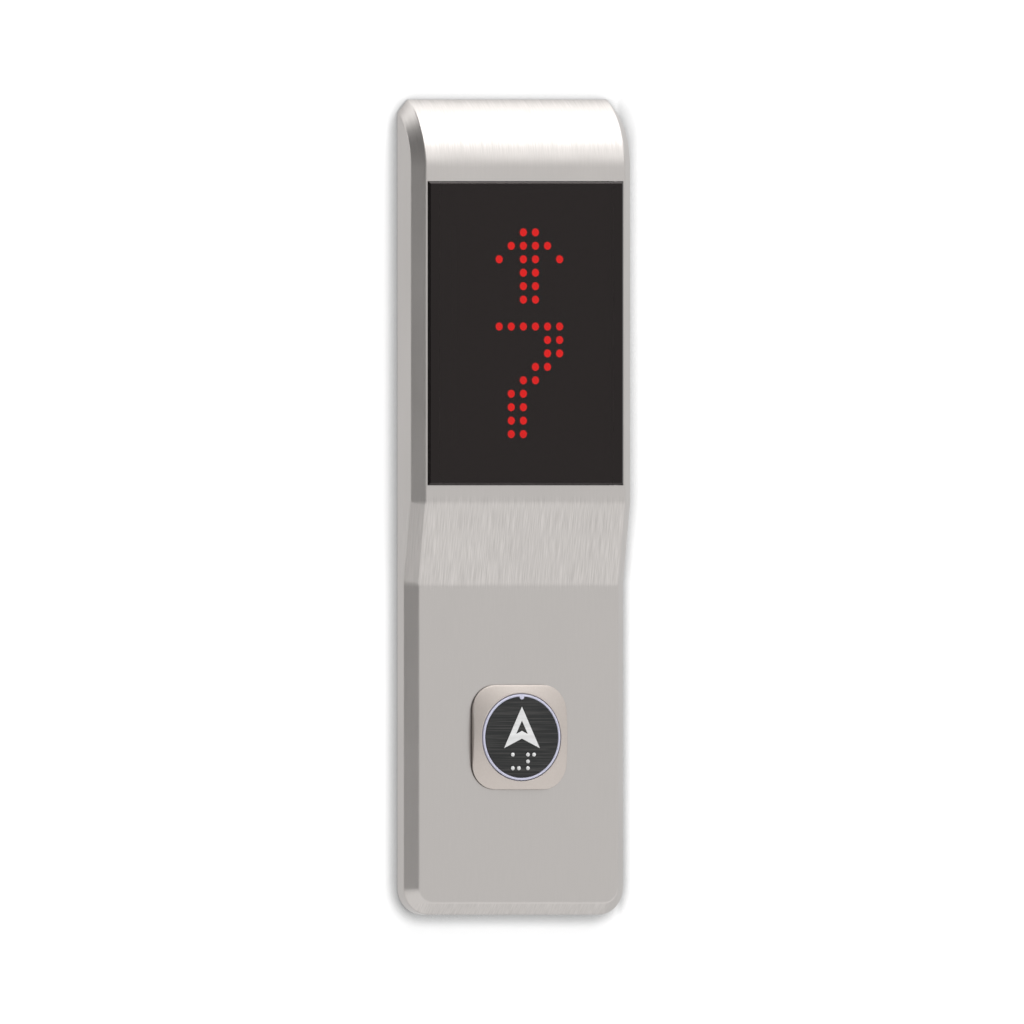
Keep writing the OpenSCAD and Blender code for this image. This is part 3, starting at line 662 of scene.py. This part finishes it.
def tin_legs(finish, reach, start):
    """Turns a finish to bare tin where a distance goes beyond its start in mm."""
    shader = shader_of(finish)
    legs = between(finish, reach, 0.0, 1.0, (start - TIN_FADE) * MM, (start + TIN_FADE) * MM)
    tinned = mixed(finish, legs, colour_of(finish), (*TIN, 1.0), "RGBA")
    join(finish, tinned, shader, "Base Color")
    join(finish, legs, shader, "Metallic")


block_black = new_finish(
    "matrix_black", (0.006, 0.006, 0.006), (0.012, 0.011, 0.011), 900, (0.55, 0.75), 0.01
)
tin_legs(block_black, axis_of(block_black, "Y"), -PIN_ROOT)
for node in ("matrix_block_upper", "matrix_block_lower"):
    dress(solids[node], block_black)
resin = new_finish(
    "unlit_resin", (0.012, 0.011, 0.011), (0.02, 0.018, 0.018), 1200, (0.4, 0.6), 0.004
)
dress(solids["dark_dots"], resin)
glowing = new_finish(
    "lit_red_resin", (0.55, 0.005, 0.0), (0.75, 0.01, 0.0), 1200, (0.35, 0.5), 0.004
)
glow_shader = shader_of(glowing)
glow_shader.inputs["Emission Color"].default_value = (1.0, 0.0, 0.0, 1.0)
glow_shader.inputs["Emission Strength"].default_value = DOT_GLOW
dress(solids["lit_dots"], glowing)
print("display dressed")

# %% [markdown]
# ## The bezel
# The square round the button is a satin, warm-toned moulding: a rounded square cut out of a shallow
# dome, so that its sides are low at the corners and higher between them. A sphere cut by a box would
# leave a knife edge, so the section is drawn at each point of the outline instead, with a small
# rounding at the side and at the rim of the bore, and the sections are joined into a ring.

# %% Shape of the bezel
BEZEL_HALF = 19.25
BEZEL_CORNER_R = 9.5
BEZEL_BACK = 9.9
BEZEL_EDGE = 10.2
BEZEL_FRONT = 12.4
BORE_R = 16.1
RIM_SOFT = 0.3
SIDE_SOFT = 0.45
SIDE_SOFT_SHARE = 0.6
RIM_STEPS = 4
LIP_BACK = 10.8
DOME_STEPS = 10

corner_at = (BEZEL_HALF - BEZEL_CORNER_R) * math.sqrt(2) + BEZEL_CORNER_R
rise = BEZEL_FRONT - BEZEL_EDGE
dome_out = (BORE_R**2 + BEZEL_FRONT**2 - corner_at**2 - BEZEL_EDGE**2) / (2 * rise)
dome_r = math.hypot(BORE_R, BEZEL_FRONT - dome_out)
print("bezel dome radius:", round(dome_r, 2), "mm")


def dome_at(r):
    """Height of the bezel's dome at a distance from the button's axis."""
    return dome_out + math.sqrt(dome_r**2 - r**2)


def square_outline(half, corner_r, corner_steps=24, side_steps=16):
    """Points round a square with round corners, anticlockwise from the top of its right side."""
    straight = half - corner_r
    points = []
    for corner, (sx, sy) in enumerate(((1, 1), (-1, 1), (-1, -1), (1, -1))):
        for k in range(corner_steps + 1):
            turn = math.pi / 2 * (corner + k / corner_steps)
            x = sx * straight + corner_r * math.cos(turn)
            y = sy * straight + corner_r * math.sin(turn)
            points.append((x, y))
        end = points[-1]
        ahead = math.pi / 2 * (corner + 1)
        for k in range(1, side_steps):
            move = 2 * straight * k / side_steps
            points.append((end[0] - math.sin(ahead) * move, end[1] + math.cos(ahead) * move))
    return points


def bezel_line(x, y):
    """The bezel's section from the back of its outline over the dome and down into the bore."""
    reach = math.hypot(x, y)
    aim_x, aim_y = x / reach, y / reach
    rim = BORE_R + RIM_SOFT
    side_soft = min(SIDE_SOFT, SIDE_SOFT_SHARE * (dome_at(reach) - BEZEL_BACK))
    inner = reach - 2 * SIDE_SOFT
    line = soften([(reach, BEZEL_BACK), (reach, dome_at(reach)), (inner, dome_at(inner))], side_soft)
    for k in range(1, DOME_STEPS + 1):
        r = inner + (rim - inner) * k / DOME_STEPS
        line.append((r, dome_at(r)))
    rim_front = dome_at(rim)
    for k in range(1, RIM_STEPS + 1):
        turn = math.pi / 2 * k / RIM_STEPS
        line.append((rim - RIM_SOFT * math.sin(turn), rim_front - RIM_SOFT * (1 - math.cos(turn))))
    line += [(BORE_R, LIP_BACK), (BUTTON_HOLE_R, LIP_BACK), (BUTTON_HOLE_R, BEZEL_BACK)]
    return [stand(aim_x * r, BUTTON_Y + aim_y * r, out) for r, out in line]


def close_ring(bm, rows):
    """Faces between neighbouring sections of a closed ring, each section closed too."""
    grid = [[bm.verts.new(point) for point in row] for row in rows]
    for row, after in zip(grid, grid[1:] + grid[:1]):
        for k in range(len(row)):
            ahead = (k + 1) % len(row)
            bm.faces.new((row[k], after[k], after[ahead], row[ahead]))


# %% Bezel with its screw bosses
BOSS_R = 2.2
BOSS_BORE_R = 1.0
BOSS_AT = 14.6
BOSS_FOOT = 8.0
BOSS_ROOT = BEZEL_BACK + 0.1
BOSS_STEPS = 32


def turned_ring(line, across, up, steps):
    """The sections of a ring turned about an axis at (across, up), from its line of (r, out)."""
    rows = []
    for k in range(steps):
        x = math.cos(2 * math.pi * k / steps)
        y = math.sin(2 * math.pi * k / steps)
        rows.append([stand(across + r * x, up + r * y, out) for r, out in line])
    return rows


bezel_bm = bmesh.new()
close_ring(bezel_bm, [bezel_line(x, y) for x, y in square_outline(BEZEL_HALF, BEZEL_CORNER_R)])
boss_line = [(BOSS_BORE_R, BOSS_FOOT), (BOSS_R, BOSS_FOOT)]
boss_line += [(BOSS_R, BOSS_ROOT), (BOSS_BORE_R, BOSS_ROOT)]
for across in (-BOSS_AT, BOSS_AT):
    for up in (BUTTON_Y - BOSS_AT, BUTTON_Y + BOSS_AT):
        close_ring(bezel_bm, turned_ring(boss_line, across, up, BOSS_STEPS))
bezel_mesh = mesh_from(bezel_bm, "pillow_bezel")
bezel = link_piece("pillow_bezel", bezel_mesh, "panel", "button_bezel")
satin = new_finish(
    "warm_satin", (0.477, 0.430, 0.398), (0.506, 0.460, 0.428), 1500, (0.42, 0.48), 0.0006, metal=0.85
)
dress(bezel, satin)

# %% [markdown]
# ## The light ring, the arrow and the face
# One clear moulding makes the ring, the small key at its top and the arrow that fills the dark face,
# so light from the board shows in all three. Here that light is a painted glow in the base colour,
# with no emission: a little blue on the ring and white on the arrow, so the finish blends the two by
# the distance from the button's middle.

# %% Light ring and arrow
# Painted glow: base colours that stand in for the board's light showing through the ring and the arrow.
RING_PAINTED_GLOW = (0.65, 0.65, 0.80)
ARROW_PAINTED_GLOW = (0.88, 0.88, 0.88)
ARROW_LINE_SHADE = 0.85
ARROW_LINES = (30, 30, 900)
ARROW_REACH = 13.2
RING_FADE = 0.1
RING_ROUGH = (0.30, 0.42)
RING_SOFT = 0.06

glow_painted_finish = bare_finish("painted_glow_ring_and_arrow")
glow_painted_shader = shader_of(glow_painted_finish)
spot = new_node(glow_painted_finish, "TexCoord")
shift = new_node(glow_painted_finish, "Mapping", Location=-stand(0, BUTTON_Y, 0), Scale=(1.0, 0.0, 1.0))
far = new_node(glow_painted_finish, "VectorMath")
far.operation = "LENGTH"
join(glow_painted_finish, spot.outputs["Object"], shift, "Vector")
join(glow_painted_finish, shift.outputs["Vector"], far, 0)
ring_start = (ARROW_REACH - RING_FADE) * MM
ring_share = between(glow_painted_finish, far.outputs["Value"], 0.0, 1.0, ring_start, ring_start + 2 * RING_FADE * MM)
lines = grain(glow_painted_finish, ARROW_LINES, detail=3.0)
arrow_glow_and_lines = shades(glow_painted_finish, lines, tuple(ARROW_LINE_SHADE * v for v in ARROW_PAINTED_GLOW), ARROW_PAINTED_GLOW)
join(glow_painted_finish, mixed(glow_painted_finish, ring_share, arrow_glow_and_lines, (*RING_PAINTED_GLOW, 1.0), "RGBA"), glow_painted_shader, "Base Color")
join(glow_painted_finish, between(glow_painted_finish, lines, *RING_ROUGH), glow_painted_shader, "Roughness")
softened("light_ring_and_arrow", "button_lens", RING_SOFT, "button", glow_painted_finish)

# %% [markdown]
# ## The dark face, its inlay and the touch writing
# The face is a dark disc, brushed across, and the arrowhead inside the arrow is cut from the same sheet.
# The touch writing is seven domed pins, smooth and white so that a finger and an eye can both find them.

# %% Face and inlay
FACE_SPECULAR = 0.3
FACE_SOFT = 0.05

dark_brushed = new_finish(
    "dark_brushed_sheet", (0.018, 0.019, 0.019), (0.075, 0.072, 0.070), (45, 45, 2600), (0.4, 0.5),
    0.004, metal=0.2, ramp=(0.45, 0.8),
)
shader_of(dark_brushed).inputs["Specular IOR Level"].default_value = FACE_SPECULAR
softened("dark_face", "button_face", FACE_SOFT, "button", dark_brushed)
softened("arrow_centre", "arrow_inlay", FACE_SOFT, "button", dark_brushed)

# %% Domes of the touch writing
TOUCH_PITCH = 2.5
TOUCH_CELL_PITCH = 6.2
TOUCH_LEFT = -3.8
TOUCH_TOP = -6.4
TOUCH_R = 0.75
TOUCH_RISE = 0.45
TOUCH_SOFT = 0.06
PIN_R = 0.5
CAP_FRONT = 12.6
FACE_BACK = 11.8
TOUCH_MARKS = [(0, 0, 0), (0, 0, 2), (0, 1, 2), (1, 0, 0), (1, 1, 0), (1, 0, 1), (1, 0, 2)]
DOME_RINGS = 9
TOUCH_STEPS = 32


def touch_line():
    """Half the section of a pin: a dome with a soft rim, on a shank let into the face."""
    line = [(PIN_R, FACE_BACK), (PIN_R, CAP_FRONT), (TOUCH_R - TOUCH_SOFT, CAP_FRONT)]
    for k in range(DOME_RINGS):
        turn = math.pi / 2 * k / DOME_RINGS
        rise = TOUCH_SOFT + (TOUCH_RISE - TOUCH_SOFT) * math.sin(turn)
        line.append((TOUCH_R * math.cos(turn), CAP_FRONT + rise))
    return line


def add_pin(bm, across, up):
    """One pin, closed by a fan at the top of its dome and a flat at its foot."""
    rows = turned_ring(touch_line(), across, up, TOUCH_STEPS)
    grid = [[bm.verts.new(point) for point in row] for row in rows]
    top = bm.verts.new(stand(across, up, CAP_FRONT + TOUCH_RISE))
    for row, after in zip(grid, grid[1:] + grid[:1]):
        for k in range(len(row) - 1):
            bm.faces.new((row[k], after[k], after[k + 1], row[k + 1]))
        bm.faces.new((row[-1], after[-1], top))
    bm.faces.new([row[0] for row in grid])


pins_bm = bmesh.new()
for cell, column, row in TOUCH_MARKS:
    across = TOUCH_LEFT + cell * TOUCH_CELL_PITCH + column * TOUCH_PITCH
    add_pin(pins_bm, across, BUTTON_Y + TOUCH_TOP - row * TOUCH_PITCH)
pins_mesh = mesh_from(pins_bm, "touch_domes")
pins = link_piece("touch_domes", pins_mesh, "button", "touch_pins")
white_pins = new_finish(
    "white_touch_pins", (0.74, 0.74, 0.74), (0.82, 0.82, 0.82), 2500, (0.28, 0.40), 0.003
)
dress(pins, white_pins)

# %% [markdown]
# ## The pieces behind
# The wall plate, the screws, the boards and the carrier are hidden from the front, but the panel is
# also looked at from behind and taken apart. Each gets the finish of what it is made of: zinc plating,
# rubber, moulded plastic, solder mask, turned brass, drawn wire and foam.

# %% Finishes of the pieces behind
SPANGLE = 160.0


def spangled(name, dark, light, rough):
    """Zinc plating: crystals a few millimetres wide, each with its own shade and gloss."""
    finish = new_finish(name, dark, light, 700, rough, 0.002, metal=1.0)
    shader = shader_of(finish)
    place = new_node(finish, "TexCoord")
    crystals = new_node(finish, "TexVoronoi", Scale=SPANGLE)
    join(finish, place.outputs["Object"], crystals, "Vector")
    own_shade = new_node(finish, "SeparateColor")
    join(finish, crystals.outputs["Color"], own_shade, "Color")
    join(finish, shades(finish, own_shade.outputs["Red"], dark, light, 0.0, 1.0), shader, "Base Color")
    join(finish, between(finish, own_shade.outputs["Green"], *rough, 0.0, 1.0), shader, "Roughness")
    return finish


zinc = spangled("zinc_plating", (0.47, 0.48, 0.49), (0.58, 0.59, 0.60), (0.3, 0.5))
dark_plate = new_finish(
    "dark_plating", (0.10, 0.10, 0.11), (0.16, 0.16, 0.17), 500, (0.3, 0.42), 0.002, metal=1.0
)
rubber = new_finish("black_rubber", (0.014, 0.014, 0.014), (0.03, 0.03, 0.03), 700, (0.7, 0.9), 0.02)
mask = new_finish("solder_mask", (0.008, 0.06, 0.022), (0.014, 0.095, 0.035), 160, (0.3, 0.42), 0.004)
brass = new_finish(
    "turned_brass", (0.55, 0.38, 0.13), (0.68, 0.50, 0.20), (200, 2500, 200), (0.28, 0.4), 0.003,
    metal=1.0,
)
foam = new_finish("white_foam", (0.60, 0.60, 0.59), (0.76, 0.76, 0.75), 1800, (0.85, 0.95), 0.05)
wire = new_finish(
    "drawn_wire", (0.50, 0.50, 0.51), (0.62, 0.62, 0.63), 900, (0.25, 0.35), 0.002, metal=1.0
)


def moulded_black(name):
    """Black moulded plastic with a fine grain."""
    dark, light = (0.016, 0.016, 0.017), (0.030, 0.030, 0.031)
    return new_finish(name, dark, light, 900, (0.45, 0.6), 0.008)


def ivory_nylon(name):
    """Pale moulded nylon, as used for headers and plungers."""
    dark, light = (0.66, 0.63, 0.53), (0.74, 0.71, 0.61)
    return new_finish(name, dark, light, 500, (0.45, 0.6), 0.006)


black = moulded_black("moulded_black")
ivory = ivory_nylon("ivory_nylon")
print("finishes so far:", len(bpy.data.materials))

# %% [markdown]
# ## Tin among the plastic
# Chips and switches have metal legs, a header has a row of metal pins, and a board has tinned pads
# round its holes. A piece could be split to give each of them a finish of its own, but here they
# belong to one solid with what they sit in. So the finish asks where it is: past the side of a chip,
# inside a box round the row of pins, or inside the circle of a pad, it turns to tin.

# %% Legs of the chips and the switch
BOARD_MIDDLE = 64.0
CHIP_PITCH = 18.0
CHIP_HALF = 1.95
SWITCH_HALF = 3.1

chip_black = new_finish(
    "chip_black", (0.014, 0.014, 0.015), (0.024, 0.024, 0.025), 1200, (0.5, 0.65), 0.005
)
chip_up = maths(chip_black, "SUBTRACT", axis_of(chip_black, "Z"), BOARD_MIDDLE * MM)
tin_legs(chip_black, maths(chip_black, "PINGPONG", chip_up, CHIP_PITCH / 2 * MM), CHIP_HALF)
switch_black = moulded_black("switch_black")
tin_legs(switch_black, maths(switch_black, "ABSOLUTE", axis_of(switch_black, "X")), SWITCH_HALF)
print("legs start", CHIP_HALF, "and", SWITCH_HALF, "mm from the middle of chip and switch")

# %% Pins of the headers and pads of the display board
HEADER_WALL = 1.2
HEADER_FLOOR = 0.85
HEADER_PIN_HALF = 0.4
PAD_X = 22.275
PAD_ROWS = 16
PAD_PITCH = 4.95
PAD_R = 0.7


def depth_in(finish, low, high):
    """Depth inside a box given by its corners in metres, as a socket that is below 0 outside it."""
    depths = []
    for axis, start, end in zip("XYZ", low, high):
        place = axis_of(finish, axis)
        past_start = maths(finish, "SUBTRACT", place, start)
        depths.append(maths(finish, "MINIMUM", past_start, maths(finish, "SUBTRACT", end, place)))
    return maths(finish, "MINIMUM", depths[0], maths(finish, "MINIMUM", depths[1], depths[2]))


def header_nylon(name, node, faces_front):
    """Ivory nylon with a row of tin pins in the open middle of a header."""
    finish = ivory_nylon(name)
    low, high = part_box(node)
    middle = (low.z + high.z) / 2
    back = high.y - HEADER_FLOOR * MM if faces_front else high.y
    front = low.y if faces_front else low.y + HEADER_FLOOR * MM
    first = (low.x + HEADER_WALL * MM, front, middle - HEADER_PIN_HALF * MM)
    last = (high.x - HEADER_WALL * MM, back, middle + HEADER_PIN_HALF * MM)
    tin_legs(finish, depth_in(finish, first, last), 0.0)
    return finish


def pad_depth(finish):
    """Depth inside the nearest round pad of the two rows of block pins, as a socket."""
    off_row = maths(finish, "SUBTRACT", maths(finish, "ABSOLUTE", axis_of(finish, "X")), PAD_X * MM)
    up = maths(finish, "SUBTRACT", axis_of(finish, "Z"), BOARD_MIDDLE * MM)
    half_pitch = PAD_PITCH / 2 * MM
    off_pin = maths(finish, "PINGPONG", maths(finish, "ADD", up, half_pitch), half_pitch)
    squares = [maths(finish, "MULTIPLY", off, off) for off in (off_row, off_pin)]
    away = maths(finish, "SQRT", maths(finish, "ADD", *squares))
    in_pad = maths(finish, "SUBTRACT", PAD_R * MM, away)
    in_rows = maths(finish, "SUBTRACT", PAD_ROWS / 2 * PAD_PITCH * MM, maths(finish, "ABSOLUTE", up))
    return maths(finish, "MINIMUM", in_pad, in_rows)


wire_ivory = header_nylon("wire_header_nylon", "wire_header", False)
button_ivory = header_nylon("button_header_nylon", "button_header", True)
tin_legs(mask, pad_depth(mask), 0.0)
print("pads:", 2 * PAD_ROWS, "round the pins of the blocks")

# %% Dress the pieces behind
behind = {
    "wall_plate": zinc, "cover_screws": dark_plate, "press_nuts": zinc, "cable_bush": rubber,
    "lens_tapes": foam, "display_board": mask, "board_standoffs": brass, "board_screws": zinc,
    "driver_chips": chip_black, "wire_header": wire_ivory, "bezel_seal": rubber,
    "button_carrier": black, "carrier_screws": zinc, "switch_body": switch_black,
    "switch_plunger": ivory, "button_board": mask, "ring_leds": ivory, "button_header": button_ivory,
}
for node, finish in behind.items():
    dress(solids[node], finish)
print("pieces behind:", len(behind))

# %% [markdown]
# ## The return spring
# The button is pushed back out by one coil of drawn wire. Its solid has only a few sides, so the wire
# is swept again with more. When the button goes in, the coil gets shorter.

# %% Return spring
SPRING_R = 6.6
WIRE_R = 0.3
SPRING_TURNS = 4.5
CLOSED_TURNS = 0.75
WIRE_SIDES = 14
STEPS_PER_TURN = 48

spring_low, spring_high = in_mm("return_spring")
coil_low = spring_low[2] + WIRE_R
coil_high = spring_high[2] - WIRE_R
open_turns = SPRING_TURNS - 2 * CLOSED_TURNS
open_rise = coil_high - coil_low - 4 * WIRE_R * CLOSED_TURNS


def coil_out(turns):
    """Height of the wire's middle after so many turns."""
    closed = min(turns, CLOSED_TURNS) + max(0.0, turns - CLOSED_TURNS - open_turns)
    opened = min(1.0, max(0.0, (turns - CLOSED_TURNS) / open_turns))
    return coil_low + 2 * WIRE_R * closed + open_rise * opened


spring_bm = bmesh.new()
rings = []
for k in range(int(SPRING_TURNS * STEPS_PER_TURN) + 1):
    turns = k / STEPS_PER_TURN
    angle = 2 * math.pi * turns
    loop = []
    for side in range(WIRE_SIDES):
        lap = 2 * math.pi * side / WIRE_SIDES
        r = SPRING_R + WIRE_R * math.cos(lap)
        out = coil_out(turns) + WIRE_R * math.sin(lap)
        place = stand(r * math.cos(angle), BUTTON_Y + r * math.sin(angle), out)
        loop.append(spring_bm.verts.new(place))
    rings.append(loop)
for loop, after in zip(rings, rings[1:]):
    for k in range(WIRE_SIDES):
        ahead = (k + 1) % WIRE_SIDES
        spring_bm.faces.new((loop[k], loop[ahead], after[ahead], after[k]))
spring_bm.faces.new(rings[0])
spring_bm.faces.new(rings[-1])
spring_mesh = mesh_from(spring_bm, "coil_spring")
spring = link_piece("coil_spring", spring_mesh, "panel", "return_spring")
dress(spring, wire)
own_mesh(spring)

# %% [markdown]
# ## Wall, floor and light
# The panel hangs on a plain white wall above a pale floor. They and the lamps are placed in metres,
# and what follows the panel is in its millimetres. A wide soft light above gives the bend its white
# sheen, a small one in front lights the bezel's top, the room is paler on the right than on the left,
# and a grey card that only mirrors see darkens the left bevel. The wall lifts itself towards white only
# for rays from the camera, mirrors and glass, so the panel's own light stays plain. In the crease round
# the panel an Ambient Occlusion node darkens the wall's paint and takes that lift away again: a painted
# shadow, close and soft. On the right the panel hides its own crease from the camera, so the painted
# shadow is made to reach further and deeper there.

# %% Helpers for the stage
WASH_FADE = 12.0
MOTTLE = 30
MOTTLE_SHADE = 0.99
# The crease and right constants shape the painted shadow round the panel, wider and deeper on the right.
CREASE_SAMPLES = 4
CREASE_CORNER = 0.5
CREASE_REACH = 5.5
CREASE_SHADE = 0.34
RIGHT_EXTRA_LOW = 1.5
RIGHT_EXTRA_HIGH = 5.8
RIGHT_FADE = 2.0
RIGHT_DEPTH = 2.0


def sheet_piece(name, corners, finish):
    """A flat stage piece through four corners in metres."""
    mesh = bpy.data.meshes.new(name)
    mesh.from_pydata(corners, [], [tuple(range(len(corners)))])
    sheet = bpy.data.objects.new(name, mesh)
    bpy.context.scene.collection.objects.link(sheet)
    dress(sheet, finish)
    return sheet


def pick_shader(finish, factor, first, second):
    """The first shader where the factor is 0 and the second where it is 1."""
    mix = new_node(finish, "MixShader")
    join(finish, factor, mix, "Fac")
    join(finish, first, mix, 1)
    join(finish, second, mix, 2)
    return mix.outputs["Shader"]


def ray_kinds(finish):
    """Sockets that are 1 for rays from the camera, and for rays from mirrors and glass."""
    rays = new_node(finish, "LightPath").outputs
    bounced = maths(finish, "MAXIMUM", rays["Is Glossy Ray"], rays["Is Transmission Ray"])
    return rays["Is Camera Ray"], bounced


def painted_crease_shadow(finish):
    """Painted crease shadow: share of paint and lift kept, 1 in the clear, less in the crease, wider on
    the right.
    """
    right_edge = HALF_W * MM
    right = between(finish, axis_of(finish, "X"), 0.0, 1.0, right_edge, right_edge + RIGHT_FADE * MM)
    low_and_high = (RIGHT_EXTRA_LOW * MM, RIGHT_EXTRA_HIGH * MM)
    slope = (SLOPE_FOOT_Y * MM, SLOPE_HEAD_Y * MM)
    extra = between(finish, axis_of(finish, "Z"), *low_and_high, *slope)
    crease = new_node(finish, "AmbientOcclusion")
    crease.samples = CREASE_SAMPLES
    reach = maths(finish, "ADD", maths(finish, "MULTIPLY", right, extra), CREASE_REACH * MM)
    join(finish, reach, crease, "Distance")
    painted_shadow_share = between(finish, crease.outputs["AO"], CREASE_SHADE, 1.0, CREASE_CORNER, 1.0)
    return maths(finish, "POWER", painted_shadow_share, between(finish, right, 1.0, RIGHT_DEPTH, 0.0, 1.0))


def paper(name, shade, lift, in_mirrors):
    """Pale paint, lifted for the camera, with a painted shadow in the crease; mirrors see one plain
    level below the head and one above.
    """
    finish = bare_finish(name)
    finish.node_tree.nodes.clear()
    camera_rays, bounced = ray_kinds(finish)
    painted_shadow_share = painted_crease_shadow(finish)
    mottle = grain(finish, MOTTLE, detail=2.0)
    coat = shades(finish, mottle, tuple(MOTTLE_SHADE * v for v in shade), shade)
    paint = new_node(finish, "BsdfDiffuse")
    # Painted shadow: the crease share darkens the paint's colour here and the camera's lift just below.
    join(finish, dimmed(finish, coat, painted_shadow_share), paint, "Color")
    glow = new_node(finish, "Emission")
    seen_lift = between(finish, camera_rays, 0.0, lift, 0.0, 1.0)
    join(finish, maths(finish, "MULTIPLY", seen_lift, painted_shadow_share), glow, "Strength")
    lifted = new_node(finish, "AddShader")
    join(finish, paint.outputs["BSDF"], lifted, 0)
    join(finish, glow.outputs["Emission"], lifted, 1)
    plain = new_node(finish, "Emission")
    wash = between(finish, axis_of(finish, "Z"), *in_mirrors, HEAD_Y * MM, (HEAD_Y + WASH_FADE) * MM)
    join(finish, wash, plain, "Strength")
    front = pick_shader(finish, bounced, lifted.outputs["Shader"], plain.outputs["Emission"])
    side = new_node(finish, "NewGeometry")
    clear = new_node(finish, "BsdfTransparent")
    both = pick_shader(finish, side.outputs["Backfacing"], front, clear.outputs["BSDF"])
    join(finish, both, new_node(finish, "OutputMaterial"), "Surface")
    return finish


# %% Wall and floor
WALL_Y = 0.0006
FLOOR_Z = -0.32
ROOM = 3.0
WALL_SHADE = (0.55, 0.55, 0.55)
FLOOR_SHADE = (0.80, 0.80, 0.80)
WALL_LIFT = 0.62
FLOOR_LIFT = 0.25
WALL_IN_MIRRORS = (1.03, 2.2)
FLOOR_IN_MIRRORS = (1.36, 1.36)

wall_paint = paper("white_wall_paint", WALL_SHADE, WALL_LIFT, WALL_IN_MIRRORS)
floor_paint = paper("pale_floor_paint", FLOOR_SHADE, FLOOR_LIFT, FLOOR_IN_MIRRORS)
sheet_piece(
    "wall",
    [(-ROOM, WALL_Y, FLOOR_Z), (ROOM, WALL_Y, FLOOR_Z), (ROOM, WALL_Y, ROOM), (-ROOM, WALL_Y, ROOM)],
    wall_paint,
)
sheet_piece(
    "floor",
    [(-ROOM, -ROOM, FLOOR_Z), (ROOM, -ROOM, FLOOR_Z), (ROOM, ROOM, FLOOR_Z), (-ROOM, ROOM, FLOOR_Z)],
    floor_paint,
)
print("stage set")

# %% Lights
SOFTBOX_SIZE = (1.4, 0.78)
SOFTBOX_PLACE = (0.3, -0.42, 0.8)
SOFTBOX_AIM = (0.1, -0.05, 0.05)
SOFTBOX_WATTS = 7.5
FILL_SIZE = (0.4, 0.3)
FILL_PLACE = (0.5, -0.94, 0.46)
FILL_AIM = (0.0, 0.0, 0.0)
FILL_WATTS = 0.55


def aim(thing, target):
    """Turns a lamp or camera to look at a point."""
    thing.rotation_euler = (Vector(target) - thing.location).to_track_quat("-Z", "Y").to_euler()


def soft_light(name, size, place, target, watts):
    """A rectangular lamp that looks at a point."""
    light = bpy.data.lights.new(name, "AREA")
    light.shape = "RECTANGLE"
    light.size, light.size_y = size
    light.energy = watts
    lamp = bpy.data.objects.new(name, light)
    lamp.location = place
    aim(lamp, target)
    bpy.context.scene.collection.objects.link(lamp)
    print(name, "at", place)


soft_light("softbox_above", SOFTBOX_SIZE, SOFTBOX_PLACE, SOFTBOX_AIM, SOFTBOX_WATTS)
soft_light("fill_in_front", FILL_SIZE, FILL_PLACE, FILL_AIM, FILL_WATTS)

# %% Grey card for the left bevel
CARD_X = -1.1
CARD_FRONT = -1.3
CARD_BACK = -0.02
CARD_FOOT = FLOOR_Z + 0.02
CARD_HEAD = 1.8
CARD_LOW = (0.645, 0.645, 0.645)
CARD_HIGH = (0.29, 0.29, 0.29)
CARD_FADE = 0.6
CARD_ROUGH = 0.95

card_grey = bare_finish("grey_card")
card_shader = shader_of(card_grey)
card_shader.inputs["Roughness"].default_value = CARD_ROUGH
card_fade = shades(card_grey, axis_of(card_grey, "Z"), CARD_LOW, CARD_HIGH, 0.0, CARD_FADE)
join(card_grey, card_fade, card_shader, "Base Color")
card_foot = [(CARD_X, CARD_FRONT, CARD_FOOT), (CARD_X, CARD_BACK, CARD_FOOT)]
card_head = [(CARD_X, CARD_BACK, CARD_HEAD), (CARD_X, CARD_FRONT, CARD_HEAD)]
card = sheet_piece("grey_card_left", card_foot + card_head, card_grey)
card.visible_camera = False
card.visible_diffuse = False
card.visible_shadow = False
print("grey card at", CARD_X, "m across")

# %% World
WORLD_LEVEL = 0.62
ROOM_LEFT = 0.35
ROOM_RIGHT = 1.0
ROOM_FADE = (-0.2, 0.3)

world = bpy.data.worlds.new("pale_room")
world.use_nodes = True
bpy.context.scene.world = world
sky = world.node_tree.nodes["Background"]
camera_rays, bounced = ray_kinds(world)
room = between(world, axis_of(world, "X", "Generated"), ROOM_LEFT, ROOM_RIGHT, *ROOM_FADE)
plain_level = between(world, camera_rays, WORLD_LEVEL, 1.0, 0.0, 1.0)
join(world, mixed(world, bounced, plain_level, room), sky, "Strength")
sky.inputs["Color"].default_value = (1.0, 1.0, 1.0, 1.0)
bpy.context.scene.view_settings.view_transform = "Standard"
print("world lights at", WORLD_LEVEL)

# %% [markdown]
# ## The camera
# The photo has no perspective at all: upright edges stay upright and both ends of the panel are the
# same width. So the camera is a parallel one, level with the panel and 26 degrees round to its left. It
# aims at a point in the panel's millimetres; its distance and the width of its frame are in metres.

# %% Camera
LOOK_FROM = math.radians(26)
FRAME_W = 0.3769
AIM_RIGHT = 1.84
AIM_UP = -1.8
CAMERA_FAR = 1.5

lens = bpy.data.cameras.new("parallel_camera")
lens.type = "ORTHO"
lens.ortho_scale = FRAME_W
camera = bpy.data.objects.new("parallel_camera", lens)
look = Vector((math.sin(LOOK_FROM), math.cos(LOOK_FROM), 0.0))
rightward = Vector((math.cos(LOOK_FROM), -math.sin(LOOK_FROM), 0.0))
centre = rightward * AIM_RIGHT * MM + Vector((0.0, 0.0, AIM_UP * MM))
camera.location = centre - look * CAMERA_FAR
aim(camera, centre)
bpy.context.scene.collection.objects.link(camera)
bpy.context.scene.camera = camera
print("camera at", [round(v, 3) for v in camera.location])
